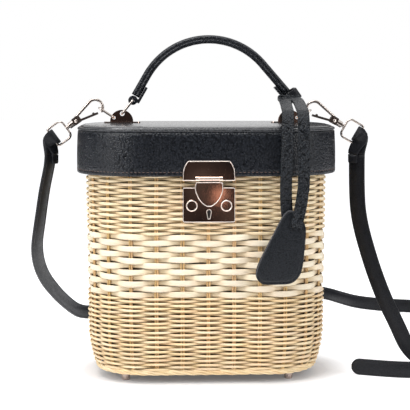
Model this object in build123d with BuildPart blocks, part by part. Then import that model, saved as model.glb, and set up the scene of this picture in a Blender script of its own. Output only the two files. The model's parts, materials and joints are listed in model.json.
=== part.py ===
"""Basket box bag: a woven reed basket with a leather lid, a clasp, a handle and a shoulder strap."""

from build123d import *
import os
from math import acos, atan2, cos, degrees, pi, radians, sin, tan

os.makedirs("parts", exist_ok=True)

# The bag stands on z = 0 with its front towards -Y. All sizes are in millimetres.
SIDES = {"left": -1, "right": 1}

# Basket
basket_width = 199.5
basket_depth = 124.5
basket_radius = 51.0
base_z = 6.5
rim_top = 174.0
rim_height = 4.0
border_height = 4.0
border_thickness = 6.0
wall_taper = 1.6
foot_curve_depth = 8.0
foot_curve_height = 36.0

# Weave
stake_count = 26
stake_radius = 0.65
stake_half_gap = 0.8
reed_thickness = 1.4
swing_out = 2.8
swing_in = 2.5
lower_zone_top = 71.7
middle_zone_top = 122.5
lower_rows = 15
middle_rows = 11
upper_rows = 10

# Lining, base board and feet
lining_gap = 4.2
lining_thickness = 1.2
board_thickness = 3.0
edge_gap = 0.3
foot_x = 67.0
foot_y = 35.0
foot_top_radius = 4.1
foot_tip_radius = 3.0
screw_radius = 1.5
screw_head_radius = 3.0
screw_head_height = 1.4
screw_gap = 0.1

# Lid
lid_width = 213.0
lid_depth = 138.0
lid_radius = 55.0
lid_bottom = 169.5
band_top = 205.4
band_thickness = 3.2
piping_radius = 1.2
panel_edge_height = 1.6
panel_crown_inset = 20.0
lid_top = 209.5
lid_board_thickness = 2.4
ledge_width = 9.0
ledge_height = 4.0
ledge_gap = 0.3
lid_lining_thickness = 1.0

# Clasp
case_width = 41.2
case_bottom = 133.5
case_top = 161.0
case_front = 70.0
case_wall = 1.0
case_gap = 0.05
slot_width = 6.6
slot_bottom = 148.4
staple_width = 5.2
staple_bottom = 150.0
staple_top = 155.5
staple_length = 5.2
hasp_axis_z = 168.0
hasp_axis_y = 71.8
hasp_knuckle_radius = 1.7
plate_knuckle_radius = 1.9
hasp_pin_radius = 0.8
pin_gap = 0.05
hasp_half_width = 11.0
hasp_tip_z = 145.5
hasp_thickness = 1.2
hasp_plate_thickness = 1.0
hasp_plate_top = 182.0
hasp_plate_bottom = 166.3
bolt_x = 13.6
bolt_z = 147.0
bolt_travel = 2.5
knob_radius = 4.65
knob_height = 3.0
stem_radius = 1.8
nose_gap = 0.3
nose_thickness = 2.0
keyhole_z = 141.8
keyhole_radius = 1.5
keyhole_length = 5.4

# Lid hinges at the back
hinge_x = 38.0
hinge_width = 26.0
hinge_axis_z = 167.0
hinge_axis_y = 72.4
hinge_leaf_thickness = 1.0
hinge_leaf_height = 15.0
hinge_knuckle_radius = 1.9
hinge_pin_radius = 0.9
hinge_middle_knuckle = 8.0
knuckle_gap = 0.2

# Handle lugs and rings
lug_x = 69.5
lug_plate_length = 30.0
lug_plate_width = 11.0
lug_plate_thickness = 1.0
lug_radius = 9.6
lug_thickness = 2.0
ring_hole_z = 217.0
ring_hole_radius = 1.9
ring_wire = 1.0
ring_half_width = 7.5
strap_hole_x = 76.3
strap_hole_z = 213.6
strap_hole_radius = 1.3
ring_corner = 2.2

# Handle: its right end stands further out than its left, as the photograph shows
handle_radius = 3.5
handle_centre = (2.6, 219.3)
handle_arc_radius = 59.1
handle_arc_start = 41.0
handle_arc_end = 150.0
handle_end_length = {"left": 24.0, "right": 36.0}
handle_seat_gap = 0.3
handle_loop_gap = 0.25
handle_loop_thickness = 2.6
handle_loop_width = 11.0
handle_flap_length = 15.0
handle_flap_width = 8.0
handle_flap_thickness = 2.2
handle_flap_gap = 0.05

# Trigger hooks: u runs along the hook from its rivet to its tip, v across it
hook_rivet_x = 107.8
hook_rivet_z = 210.9
hook_lean = {"left": 36.0, "right": 30.0}
hook_wire = 1.2
eye_u = 19.5
eye_radius = 6.3
spine_u = 1.0
spine_v = 2.6
tip_angle = 75.0
block_start = -3.0
block_end = 4.2
block_low = -3.0
block_high = 3.4
block_thickness = 3.4
gate_slot = 2.1
gate_thickness = 1.8
gate_pivot_u = 1.6
gate_pivot_v = -1.2
gate_hub_radius = 1.5
gate_pin_radius = 0.8
gate_end_u = 18.6
gate_end_v = -5.4
gate_width = 1.9
barrel_radius = 2.8
barrel_length = 4.2
swivel_radius = 1.6
loop_wire = 1.0
loop_bar_u = -24.0
loop_shoulder_u = -10.0
loop_half_width = 8.2
loop_corner = 4.0
loop_bar_corner = 1.4
strap_ring_wire = 0.8
strap_ring_half_width = 5.2
strap_ring_corner = 3.0
strap_ring_seat = 3.5
strap_ring_seat_angle = -46.0

# Shoulder strap
strap_width = 13.5
strap_thickness = 2.6
strap_roll_gap = 0.15
strap_end_bottom = 184.0
strap_end_thickness = 5.2
strap_start_gap = 0.4
strap_turn = {"left": 54.0, "right": -27.0}
strap_end_x = {"left": -132.6, "right": 127.2}

# Buckle on the strap, standing on its edge on the floor
buckle_way = 102.0
buckle_length = 22.0
buckle_wire = 0.9
buckle_corner = 1.1
buckle_strap_gap = 0.25
prong_radius = 0.8
prong_hub_radius = 1.8
prong_hole_length = 9.0
prong_hole_height = 2.6
keeper_way = 88.0
keeper_width = 7.0
keeper_thickness = 1.2
keeper_gap = 0.3

# Key fob
fob_hitch_x = 70.0
fob_hitch_z = 230.3
fob_lean = 55.0
hitch_inner_depth = 22.0
hitch_inner_width = 13.2
hitch_thickness = 1.8
hitch_crown = 1.0
hitch_crown_length = 10.0
hitch_crown_flat = 1.2
hitch_length = 9.0
strand_width = 9.4
strand_thickness = 2.2
strand_front = 77.6
strand_hitch_gap = 0.3
tag_thickness = 1.4
tag_gap = 0.1
tag_corner = 4.0
tag_slot_length = 10.6
tag_slot_width = 3.6
tag_slot_x = 67.6
tag_slot_z = 129.6
tag_slot_turn = -8.0

# Plan of the middle line of the basket wall
wall_reach = swing_out + reed_thickness / 2
middle_x = basket_width / 2 - wall_reach
middle_y = basket_depth / 2 - wall_reach
middle_radius = basket_radius - wall_reach
straight_x = middle_x - middle_radius
straight_y = middle_y - middle_radius
quarter_bend = middle_radius * pi / 2
quarter = straight_x + quarter_bend + straight_y
board_top = base_z + board_thickness


def wall_inset(z):
    """How far the wall has drawn in from its rim at a height, with a rounded foot."""
    slope = wall_taper * (rim_top - z) / (rim_top - base_z)
    rise = max(0.0, 1 - (z - base_z) / foot_curve_height)
    return slope + foot_curve_depth * rise**2


def wall_point(turn, shift):
    """A point beside the wall's middle line, at a share of the way round from the front."""
    way = (turn % 1.0) * 4 * quarter
    side = min(int(way // quarter), 3)
    rest = way - side * quarter
    if side % 2 == 1:
        rest = quarter - rest
    if rest < straight_x:
        x, y = rest, straight_y + middle_radius + shift
    elif rest < straight_x + quarter_bend:
        angle = (rest - straight_x) / middle_radius
        x = straight_x + (middle_radius + shift) * sin(angle)
        y = straight_y + (middle_radius + shift) * cos(angle)
    else:
        x = straight_x + middle_radius + shift
        y = quarter - rest
    return (x if side < 2 else -x, y if side in (1, 2) else -y)


def wall_outline(shift):
    """The basket's plan, moved out or in from the wall's middle line."""
    RectangleRounded(2 * (middle_x + shift), 2 * (middle_y + shift), middle_radius + shift)


def lid_outline(inset):
    """The lid's plan, moved in from its outer face."""
    RectangleRounded(lid_width - 2 * inset, lid_depth - 2 * inset, lid_radius - inset)


def weave_rows(low, high, rows, first_sign):
    """Rings of reed that pass in front of every second stake, each row out of step with the last."""
    height = (high - low) / rows
    rings = []
    for row in range(rows):
        row_z = low + row * height
        inset = wall_inset(row_z + height / 2)
        swings = []
        for stake in range(stake_count):
            in_front = (-1) ** (row + stake) * first_sign > 0
            swings.append(swing_out if in_front else -swing_in)
        with BuildSketch(Plane.XY.offset(row_z)) as ring:
            for face, mode in ((reed_thickness / 2, Mode.ADD), (-reed_thickness / 2, Mode.SUBTRACT)):
                corners = []
                for stake, swing in enumerate(swings):
                    corners.append(wall_point(stake / stake_count, swing - inset + face))
                with BuildLine():
                    Polyline(*corners, close=True)
                make_face(mode=mode)
        rings.append(extrude(ring.sketch, amount=height, mode=Mode.PRIVATE))
    return rings


def rounded_route(points):
    """Radii for a strap's route: each arc is as large as its two runs allow."""
    radii = []
    for before, here, after in zip(points, points[1:], points[2:]):
        a, b, c = Vector(*before), Vector(*here), Vector(*after)
        turn = radians((b - a).get_angle(c - b))
        radii.append(0.45 * min((b - a).length, (c - b).length) / tan(turn / 2))
    return radii


def band(points, first_across, last_across, width, thickness):
    """A flat strap along a route of straight runs joined by tangent arcs, turning from one lie to another."""
    route = [Vector(*point) for point in points]
    places = [route[0]]
    ways = [(route[1] - route[0]).normalized()]
    for before, here, after, radius in zip(route, route[1:], route[2:], rounded_route(points)):
        way_in = (here - before).normalized()
        way_out = (after - here).normalized()
        turn = radians(way_in.get_angle(way_out))
        inward = (way_out - way_in * cos(turn)) * (1 / sin(turn))
        arc_start = here - way_in * (radius * tan(turn / 2))
        steps = max(2, round(degrees(turn) / 8))
        for step in range(steps + 1):
            angle = turn * step / steps
            places.append(arc_start + way_in * (radius * sin(angle)) + inward * (radius * (1 - cos(angle))))
            ways.append(way_in * cos(angle) + inward * sin(angle))
    places.append(route[-1])
    ways.append((route[-1] - route[-2]).normalized())
    sections = []
    for index, (place, way) in enumerate(zip(places, ways)):
        share = index / (len(places) - 1)
        lie = Vector(*first_across) * (1 - share) + Vector(*last_across) * share
        across = (lie - way * lie.dot(way)).normalized()
        with BuildSketch(Plane(origin=place, x_dir=across, z_dir=way)) as section:
            Rectangle(width, thickness)
        sections.append(section.sketch)
    return loft(sections, ruled=True, mode=Mode.PRIVATE)


# Feet, base board and their screws
for row_name, row_sign in (("front", -1), ("back", 1)):
    for side_name, side_sign in SIDES.items():
        with BuildPart() as foot:
            with BuildSketch(Plane.XZ):
                with BuildLine():
                    Polyline(
                        (0, 0),
                        (foot_tip_radius, 0),
                        (foot_tip_radius + 0.35, 0.8),
                        (foot_top_radius - 0.5, base_z - 1.6),
                        (foot_top_radius, base_z - 1.2),
                        (foot_top_radius, base_z),
                        (0, base_z),
                        close=True,
                    )
                make_face()
            revolve(axis=Axis.Z)
            with Locations((0, 0, base_z)):
                Hole(screw_radius + screw_gap, depth=base_z - 2.0)
        foot_name = f"foot_{row_name}_{side_name}"
        placed_foot = Pos(side_sign * foot_x, row_sign * foot_y, 0) * foot.part
        placed_foot.label = foot_name
        export_step(placed_foot, f"parts/{foot_name}.step")

with BuildPart() as base_board:
    with BuildSketch(Plane.XY.offset(base_z)):
        wall_outline(-border_thickness / 2 - edge_gap - wall_inset(base_z + border_height / 2))
    extrude(amount=board_thickness)
    with Locations(Plane.XY.offset(board_top)):
        with GridLocations(2 * foot_x, 2 * foot_y, 2, 2):
            CounterBoreHole(
                screw_radius + screw_gap,
                screw_head_radius + screw_gap,
                screw_head_height + screw_gap,
                depth=board_thickness,
            )
base_board.part.label = "base_board"
export_step(base_board.part, "parts/base_board.step")

with BuildPart() as foot_screws:
    with BuildSketch(Plane.XY.offset(board_top - screw_head_height - screw_gap)):
        with GridLocations(2 * foot_x, 2 * foot_y, 2, 2):
            Circle(screw_head_radius)
    extrude(amount=screw_head_height)
    with BuildSketch(Plane.XY.offset(board_top - screw_head_height - screw_gap)):
        with GridLocations(2 * foot_x, 2 * foot_y, 2, 2):
            Circle(screw_radius)
    extrude(amount=-(board_thickness - screw_head_height + base_z - 2.5))
foot_screws.part.label = "foot_screws"
export_step(foot_screws.part, "parts/foot_screws.step")

# Reed border along the foot of the basket, rim at its top
with BuildPart() as foot_border:
    border_inset = wall_inset(base_z + border_height / 2)
    with BuildSketch(Plane.XY.offset(base_z)):
        wall_outline(border_thickness / 2 - border_inset)
        with BuildSketch(mode=Mode.SUBTRACT):
            wall_outline(-border_thickness / 2 - border_inset)
    extrude(amount=border_height)
    lower_edges = foot_border.edges().group_by(Axis.Z)[0]
    fillet(lower_edges, 1.5)
foot_border.part.label = "foot_border"
export_step(foot_border.part, "parts/foot_border.step")

rim_inner = lining_gap + lining_thickness + edge_gap
with BuildPart() as rim:
    with BuildSketch(Plane.XY.offset(rim_top - rim_height)):
        wall_outline(wall_reach)
        with BuildSketch(mode=Mode.SUBTRACT):
            wall_outline(-rim_inner)
    extrude(amount=rim_height)
    fillet(rim.edges().group_by(Axis.Z)[-1], 1.4)
rim.part.label = "rim"
export_step(rim.part, "parts/rim.step")

# Woven wall in its three zones
weave_low = base_z + border_height
weave_high = rim_top - rim_height
with BuildPart() as weave_lower:
    add(weave_rows(weave_low, lower_zone_top, lower_rows, 1))
weave_lower.part.label = "weave_lower"
export_step(weave_lower.part, "parts/weave_lower.step")

with BuildPart() as weave_middle:
    add(weave_rows(lower_zone_top, middle_zone_top, middle_rows, (-1) ** lower_rows))
weave_middle.part.label = "weave_middle"
export_step(weave_middle.part, "parts/weave_middle.step")

with BuildPart() as weave_upper:
    add(weave_rows(middle_zone_top, weave_high, upper_rows, (-1) ** (lower_rows + middle_rows)))
weave_upper.part.label = "weave_upper"
export_step(weave_upper.part, "parts/weave_upper.step")

# Stakes: thin rods in pairs, which follow the wall down to the border
stake_heights = (weave_low, 16.0, 24.0, 33.0, 46.0, weave_high)
stake_rods = []
for stake in range(stake_count):
    for side in (-1, 1):
        turn = stake / stake_count + side * stake_half_gap / (4 * quarter)
        sections = []
        for z in stake_heights:
            with BuildSketch(Plane.XY.offset(z)) as section:
                with Locations(wall_point(turn, -wall_inset(z))):
                    RegularPolygon(stake_radius, 6)
            sections.append(section.sketch)
        stake_rods.append(loft(sections, ruled=True, mode=Mode.PRIVATE))
with BuildPart() as stakes:
    add(stake_rods)
stakes.part.label = "stakes"
export_step(stakes.part, "parts/stakes.step")

# Cloth lining inside the wall
lining_top = rim_top - rim_height
with BuildPart() as lining:
    for z in (board_top, 16.0, 24.0, 33.0, 46.0, lining_top):
        with BuildSketch(Plane.XY.offset(z)):
            wall_outline(-lining_gap - wall_inset(z))
    loft(ruled=True)
    for z in (board_top + lining_thickness, 16.0, 24.0, 33.0, 46.0, lining_top):
        with BuildSketch(Plane.XY.offset(z)):
            wall_outline(-lining_gap - lining_thickness - wall_inset(z))
    loft(ruled=True, mode=Mode.SUBTRACT)
lining.part.label = "lining"
export_step(lining.part, "parts/lining.step")

# Lid
with BuildPart() as lid_band:
    with BuildSketch(Plane.XY.offset(lid_bottom)):
        lid_outline(0)
        with BuildSketch(mode=Mode.SUBTRACT):
            lid_outline(band_thickness)
    extrude(amount=band_top - lid_bottom)
    fillet(lid_band.edges().group_by(Axis.Z)[0], 1.0)
lid_band.part.label = "lid_band"
export_step(lid_band.part, "parts/lid_band.step")

panel_inset = 2 * piping_radius + edge_gap
with BuildPart() as lid_piping:
    with BuildSketch(Plane.XY.offset(band_top + 0.1)):
        lid_outline(0)
        with BuildSketch(mode=Mode.SUBTRACT):
            lid_outline(2 * piping_radius)
    extrude(amount=2 * piping_radius)
    fillet(lid_piping.edges().group_by(Axis.Z)[0] + lid_piping.edges().group_by(Axis.Z)[-1], 0.9 * piping_radius)
lid_piping.part.label = "lid_piping"
export_step(lid_piping.part, "parts/lid_piping.step")

with BuildPart() as lid_panel:
    with BuildSketch(Plane.XY.offset(band_top)):
        lid_outline(panel_inset)
    extrude(amount=panel_edge_height)
    with BuildSketch(Plane.XY.offset(band_top + panel_edge_height)):
        lid_outline(panel_inset)
    with BuildSketch(Plane.XY.offset(lid_top)):
        lid_outline(panel_crown_inset)
    loft()
lid_panel.part.label = "lid_panel"
export_step(lid_panel.part, "parts/lid_panel.step")

with BuildPart() as lid_board:
    with BuildSketch(Plane.XY.offset(band_top)):
        lid_outline(band_thickness + edge_gap)
    extrude(amount=-lid_board_thickness)
lid_board.part.label = "lid_board"
export_step(lid_board.part, "parts/lid_board.step")

ledge_bottom = rim_top + ledge_gap
with BuildPart() as lid_ledge:
    with BuildSketch(Plane.XY.offset(ledge_bottom)):
        lid_outline(band_thickness + edge_gap)
        with BuildSketch(mode=Mode.SUBTRACT):
            lid_outline(band_thickness + edge_gap + ledge_width)
    extrude(amount=ledge_height)
lid_ledge.part.label = "lid_ledge"
export_step(lid_ledge.part, "parts/lid_ledge.step")

with BuildPart() as lid_lining:
    with BuildSketch(Plane.XY.offset(ledge_bottom + ledge_height)):
        lid_outline(band_thickness + edge_gap)
    extrude(amount=band_top - lid_board_thickness - ledge_bottom - ledge_height)
    with BuildSketch(Plane.XY.offset(ledge_bottom + ledge_height)):
        lid_outline(band_thickness + edge_gap + lid_lining_thickness)
    extrude(
        amount=band_top - lid_board_thickness - lid_lining_thickness - ledge_bottom - ledge_height,
        mode=Mode.SUBTRACT,
    )
lid_lining.part.label = "lid_lining"
export_step(lid_lining.part, "parts/lid_lining.step")

# Clasp: the lower case on the basket, open behind, with a slot for the staple that runs out at its top
case_back = basket_depth / 2 + case_gap
case_middle = (case_top + case_bottom) / 2
case_height = case_top - case_bottom
hasp_front = hasp_axis_y + hasp_thickness - 0.1
hasp_back = hasp_front - hasp_thickness
staple_inner = hasp_back - staple_length
bolt_slot = 2 * (stem_radius + 0.15)


def front_plane(out):
    """A plane across the front, facing forwards, at a distance from the middle."""
    return Plane.XZ.offset(out)


def keyhole_outline(margin):
    """A round hole with a tapered slot below it."""
    with Locations((0, keyhole_z)):
        Circle(keyhole_radius + margin)
    half_top = 0.9 * keyhole_radius + margin
    half_foot = 0.4 + margin
    foot = keyhole_z - keyhole_length - margin
    Polygon((-half_top, keyhole_z), (-half_foot, foot), (half_foot, foot), (half_top, keyhole_z), align=None)


with BuildPart() as lock_case:
    with BuildSketch(front_plane(case_back)):
        with Locations((0, case_middle)):
            Rectangle(case_width, case_height)
    extrude(amount=case_front - case_back)
    fillet(lock_case.edges().filter_by(Axis.Y), 1.0)
    with BuildSketch(front_plane(case_back)):
        with Locations((0, case_middle)):
            Rectangle(case_width - 2 * case_wall, case_height - 2 * case_wall)
    extrude(amount=case_front - case_back - case_wall, mode=Mode.SUBTRACT)
    with BuildSketch(front_plane(case_front)):
        keyhole_outline(0.7)
    extrude(amount=0.35)
    with BuildSketch(front_plane(case_front + 0.35)):
        keyhole_outline(0)
    extrude(amount=-2 * case_wall, mode=Mode.SUBTRACT)
    with BuildSketch(front_plane(staple_inner - 0.6)):
        with Locations((0, (slot_bottom + case_top) / 2)):
            Rectangle(slot_width, case_top - slot_bottom)
    extrude(amount=case_front - staple_inner + 0.6, mode=Mode.SUBTRACT)
    for sign in SIDES.values():
        with BuildSketch(front_plane(case_front)):
            with Locations((sign * (bolt_x + bolt_travel / 2), bolt_z)):
                SlotCenterToCenter(bolt_travel, bolt_slot)
        extrude(amount=-2 * case_wall, mode=Mode.SUBTRACT)
lock_case.part.label = "lock_case"
export_step(lock_case.part, "parts/lock_case.step")

# Upper plate on the lid with its two outer knuckles
with BuildPart() as hasp_plate:
    with BuildSketch(front_plane(lid_depth / 2)):
        with BuildLine():
            right_side = Line((20.6, hasp_plate_bottom), (20.4, hasp_plate_top - 9.6))
            shoulder = ThreePointArc(right_side @ 1, (19.2, hasp_plate_top - 4.4), (16.4, hasp_plate_top))
            Line(shoulder @ 1, (0, hasp_plate_top))
            Line((0, hasp_plate_bottom), right_side @ 0)
            Line((0, hasp_plate_top), (0, hasp_plate_bottom))
        make_face()
        mirror(about=Plane.YZ)
    extrude(amount=hasp_plate_thickness)
    for sign in SIDES.values():
        with BuildSketch(Plane.YZ.offset(sign * 9.3)):
            with Locations((-hasp_axis_y, hasp_axis_z)):
                Circle(plate_knuckle_radius)
                Circle(hasp_pin_radius + pin_gap, mode=Mode.SUBTRACT)
        extrude(amount=1.3, both=True)
hasp_plate.part.label = "hasp_plate"
export_step(hasp_plate.part, "parts/hasp_plate.step")

with BuildPart() as hasp_pin:
    with BuildSketch(Plane.YZ):
        with Locations((-hasp_axis_y, hasp_axis_z)):
            Circle(hasp_pin_radius)
    extrude(amount=10.5, both=True)
hasp_pin.part.label = "hasp_pin"
export_step(hasp_pin.part, "parts/hasp_pin.step")

# Shield-shaped hasp with its knuckle and the staple behind it
hasp_neck = 7.8
with BuildPart() as hasp:
    with BuildSketch(front_plane(hasp_back)):
        with BuildLine():
            shield_side = ThreePointArc((10.3, 165.7), (hasp_half_width, 160.5), (9.6, 155.2))
            shield_foot = ThreePointArc(shield_side @ 1, (6.0, 149.4), (0, hasp_tip_z))
            Line((0, 165.7), (10.3, 165.7))
            Line(shield_foot @ 1, (0, 165.7))
        make_face()
        mirror(about=Plane.YZ)
    extrude(amount=hasp_thickness)
    with BuildSketch(front_plane(hasp_back)):
        with Locations((0, (hasp_axis_z + 165.0) / 2)):
            Rectangle(2 * hasp_neck, hasp_axis_z - 165.0)
    extrude(amount=hasp_thickness)
    with BuildSketch(Plane.YZ):
        with Locations((-hasp_axis_y, hasp_axis_z)):
            Circle(hasp_knuckle_radius)
    extrude(amount=hasp_neck, both=True)
    with BuildSketch(Plane.YZ):
        with Locations((-hasp_axis_y, hasp_axis_z)):
            Circle(hasp_pin_radius + pin_gap)
    extrude(amount=hasp_neck, both=True, mode=Mode.SUBTRACT)
    with BuildSketch(front_plane(hasp_back)):
        with Locations((0, (staple_bottom + staple_top) / 2)):
            Rectangle(staple_width, staple_top - staple_bottom)
    extrude(amount=-staple_length)
hasp.part.label = "hasp"
export_step(hasp.part, "parts/hasp.step")

# Round knobs that slide apart, each with a stem and a nose bar inside the case
nose_front = case_front - case_wall - nose_gap
nose_tip = staple_width / 2 + nose_gap
nose_end = case_width / 2 - case_wall - bolt_travel - 0.4
for side_name, sign in SIDES.items():
    with BuildPart() as bolt:
        with BuildSketch(front_plane(case_front + 0.2)):
            with Locations((sign * bolt_x, bolt_z)):
                Circle(knob_radius)
        extrude(amount=knob_height)
        fillet(bolt.faces().sort_by(Axis.Y)[0].edges(), 0.6)
        with BuildSketch(front_plane(case_front + 0.2 + knob_height)):
            with Locations((sign * bolt_x, bolt_z)):
                Circle(knob_radius - 1.5)
        extrude(amount=-0.7, mode=Mode.SUBTRACT)
        with BuildSketch(front_plane(nose_front)):
            with Locations((sign * bolt_x, bolt_z)):
                Circle(stem_radius)
        extrude(amount=case_front + 0.2 - nose_front)
        with BuildSketch(front_plane(nose_front)):
            with Locations((sign * (nose_tip + nose_end) / 2, 152.4)):
                Rectangle(nose_end - nose_tip, 3.6)
            with Locations((sign * (nose_end - 2.4), 149.4)):
                Rectangle(4.8, 9.6)
        extrude(amount=-nose_thickness)
    bolt.part.label = f"bolt_{side_name}"
    export_step(bolt.part, f"parts/bolt_{side_name}.step")

# Two lid hinges at the back: leaf on the lid, leaf on the basket, pin between, block under the lower leaf
lid_back = lid_depth / 2
leaf_clear = hinge_knuckle_radius + 0.3
half_leaf = hinge_width / 2
half_middle = hinge_middle_knuckle / 2
outer_start = half_middle + knuckle_gap
outer_length = half_leaf - outer_start


def back_plane(out):
    """A plane across the back, facing forwards, so that a leaf grows in towards the lid."""
    return Plane.XZ.offset(-out)


for side_name, sign in SIDES.items():
    middle = sign * hinge_x
    with BuildPart() as lid_leaf:
        with BuildSketch(back_plane(lid_back + hinge_leaf_thickness)):
            with Locations((middle, hinge_axis_z + leaf_clear + hinge_leaf_height / 2)):
                Rectangle(hinge_width, hinge_leaf_height)
            with Locations((middle, hinge_axis_z + leaf_clear / 2)):
                Rectangle(hinge_middle_knuckle, leaf_clear)
        extrude(amount=hinge_leaf_thickness)
        with BuildSketch(Plane.XY.offset(hinge_axis_z - 1.0)):
            with Locations((middle, (lid_back + hinge_axis_y) / 2)):
                Rectangle(hinge_middle_knuckle, hinge_axis_y - lid_back)
        extrude(amount=2.0)
        with BuildSketch(Plane.YZ.offset(middle)):
            with Locations((hinge_axis_y, hinge_axis_z)):
                Circle(hinge_knuckle_radius)
        extrude(amount=half_middle, both=True)
        with BuildSketch(Plane.YZ.offset(middle)):
            with Locations((hinge_axis_y, hinge_axis_z)):
                Circle(hinge_pin_radius + pin_gap)
        extrude(amount=half_middle, both=True, mode=Mode.SUBTRACT)
    lid_leaf.part.label = f"hinge_leaf_lid_{side_name}"
    export_step(lid_leaf.part, f"parts/hinge_leaf_lid_{side_name}.step")

    with BuildPart() as basket_leaf:
        with BuildSketch(back_plane(lid_back + hinge_leaf_thickness)):
            with Locations((middle, hinge_axis_z - leaf_clear - hinge_leaf_height / 2)):
                Rectangle(hinge_width, hinge_leaf_height)
            for end in SIDES.values():
                with Locations((middle + end * (outer_start + outer_length / 2), hinge_axis_z - leaf_clear / 2)):
                    Rectangle(outer_length, leaf_clear)
        extrude(amount=hinge_leaf_thickness)
        for end in SIDES.values():
            tab = middle + end * (outer_start + outer_length / 2)
            with BuildSketch(Plane.XY.offset(hinge_axis_z - 1.0)):
                with Locations((tab, (lid_back + hinge_axis_y) / 2)):
                    Rectangle(outer_length, hinge_axis_y - lid_back)
            extrude(amount=1.6)
            with BuildSketch(Plane.YZ.offset(tab)):
                with Locations((hinge_axis_y, hinge_axis_z)):
                    Circle(hinge_knuckle_radius)
            extrude(amount=outer_length / 2, both=True)
            with BuildSketch(Plane.YZ.offset(tab)):
                with Locations((hinge_axis_y, hinge_axis_z)):
                    Circle(hinge_pin_radius + pin_gap)
            extrude(amount=outer_length / 2, both=True, mode=Mode.SUBTRACT)
    basket_leaf.part.label = f"hinge_leaf_basket_{side_name}"
    export_step(basket_leaf.part, f"parts/hinge_leaf_basket_{side_name}.step")

with BuildPart() as hinge_pins:
    for sign in SIDES.values():
        with BuildSketch(Plane.YZ.offset(sign * hinge_x)):
            with Locations((hinge_axis_y, hinge_axis_z)):
                Circle(hinge_pin_radius)
        extrude(amount=half_leaf, both=True)
hinge_pins.part.label = "hinge_pins"
export_step(hinge_pins.part, "parts/hinge_pins.step")

block_top = hinge_axis_z - leaf_clear - 1.0
block_bottom = hinge_axis_z - leaf_clear - hinge_leaf_height
with BuildPart() as hinge_blocks:
    for sign in SIDES.values():
        with BuildSketch(Plane.XY.offset(block_bottom)):
            with Locations((sign * hinge_x, (case_back + lid_back) / 2)):
                Rectangle(hinge_width, lid_back - case_back)
        extrude(amount=block_top - block_bottom)
    fillet(hinge_blocks.edges().filter_by(Axis.X).group_by(Axis.Y)[0], 1.0)
hinge_blocks.part.label = "hinge_blocks"
export_step(hinge_blocks.part, "parts/hinge_blocks.step")

# Handle lugs: a base plate and an upright ear with a hole for the handle ring and one for the strap ring
ear_x = lug_x + 0.5
ear_z = lid_top + lug_plate_thickness
for side_name, sign in SIDES.items():
    with BuildPart() as lug:
        with BuildSketch(Plane.XY.offset(lid_top)):
            with Locations((sign * lug_x, 0)):
                RectangleRounded(lug_plate_length, lug_plate_width, 3.0)
        extrude(amount=lug_plate_thickness)
        with BuildSketch(Plane.XZ):
            with Locations((sign * ear_x, ear_z)):
                Circle(lug_radius)
            with Locations((sign * ear_x, ear_z - lug_radius / 2 - 0.2)):
                Rectangle(2.2 * lug_radius, lug_radius, mode=Mode.SUBTRACT)
            with Locations((sign * lug_x, ring_hole_z)):
                Circle(ring_hole_radius, mode=Mode.SUBTRACT)
            with Locations((sign * strap_hole_x, strap_hole_z)):
                Circle(strap_hole_radius, mode=Mode.SUBTRACT)
        extrude(amount=lug_thickness / 2, both=True)
    lug.part.label = f"lug_{side_name}"
    export_step(lug.part, f"parts/lug_{side_name}.step")

# Handle: a rolled tube on an arc with straight ends, each end folded round the bar of its ring
with BuildLine(Plane.XZ) as handle_line:
    crown = CenterArc(handle_centre, handle_arc_radius, handle_arc_start, handle_arc_end - handle_arc_start)
knees = {"left": crown @ 1, "right": crown @ 0}
outward = {"left": crown % 1, "right": (crown % 0) * -1}
ring_bars = {}
grip_ends = {}
for side_name in SIDES:
    reach = outward[side_name] * handle_end_length[side_name]
    ring_bars[side_name] = knees[side_name] + reach
    seat = ring_wire + handle_loop_gap + handle_loop_thickness + handle_seat_gap
    grip_ends[side_name] = knees[side_name] + outward[side_name] * (handle_end_length[side_name] - seat)

with BuildPart() as handle_grip:
    with BuildLine() as grip_line:
        Line(grip_ends["right"], knees["right"])
        add(crown)
        Line(knees["left"], grip_ends["left"])
    with BuildSketch(Plane(origin=grip_ends["right"], z_dir=outward["right"])):
        Circle(handle_radius)
    sweep(path=grip_line.line)
handle_grip.part.label = "handle_grip"
export_step(handle_grip.part, "parts/handle_grip.step")

loop_outer = ring_wire + handle_loop_gap + handle_loop_thickness
for side_name, sign in SIDES.items():
    end_plane = Plane(origin=ring_bars[side_name], x_dir=outward[side_name] * -1, z_dir=(0, -1, 0))
    flap_side = sign * (handle_radius + handle_flap_gap + handle_flap_thickness / 2)
    with BuildPart() as handle_loop:
        with BuildSketch(end_plane):
            Circle(loop_outer)
        extrude(amount=handle_loop_width / 2, both=True)
        with BuildSketch(end_plane):
            with Locations((handle_flap_length / 2, flap_side)):
                Rectangle(handle_flap_length, handle_flap_thickness)
        extrude(amount=handle_flap_width / 2, both=True)
        with BuildSketch(end_plane):
            Circle(ring_wire + handle_loop_gap)
        extrude(amount=handle_loop_width, both=True, mode=Mode.SUBTRACT)
    handle_loop.part.label = f"handle_loop_{side_name}"
    export_step(handle_loop.part, f"parts/handle_loop_{side_name}.step")

    ring_hole = Vector(sign * lug_x, 0, ring_hole_z)
    ring_way = ring_bars[side_name] - ring_hole
    ring_plane = Plane(origin=ring_hole + ring_way * 0.5, x_dir=(0, 1, 0), z_dir=Vector(0, 1, 0).cross(ring_way))
    with BuildSketch(ring_plane) as ring_outline:
        RectangleRounded(2 * ring_half_width, ring_way.length, ring_corner)
    ring_path = ring_outline.sketch.face().outer_wire()
    with BuildPart() as handle_ring:
        with BuildSketch(Plane(origin=ring_path @ 0, z_dir=ring_path % 0)):
            Circle(ring_wire)
        sweep(path=ring_path)
    handle_ring.part.label = f"handle_ring_{side_name}"
    export_step(handle_ring.part, f"parts/handle_ring_{side_name}.step")

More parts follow.
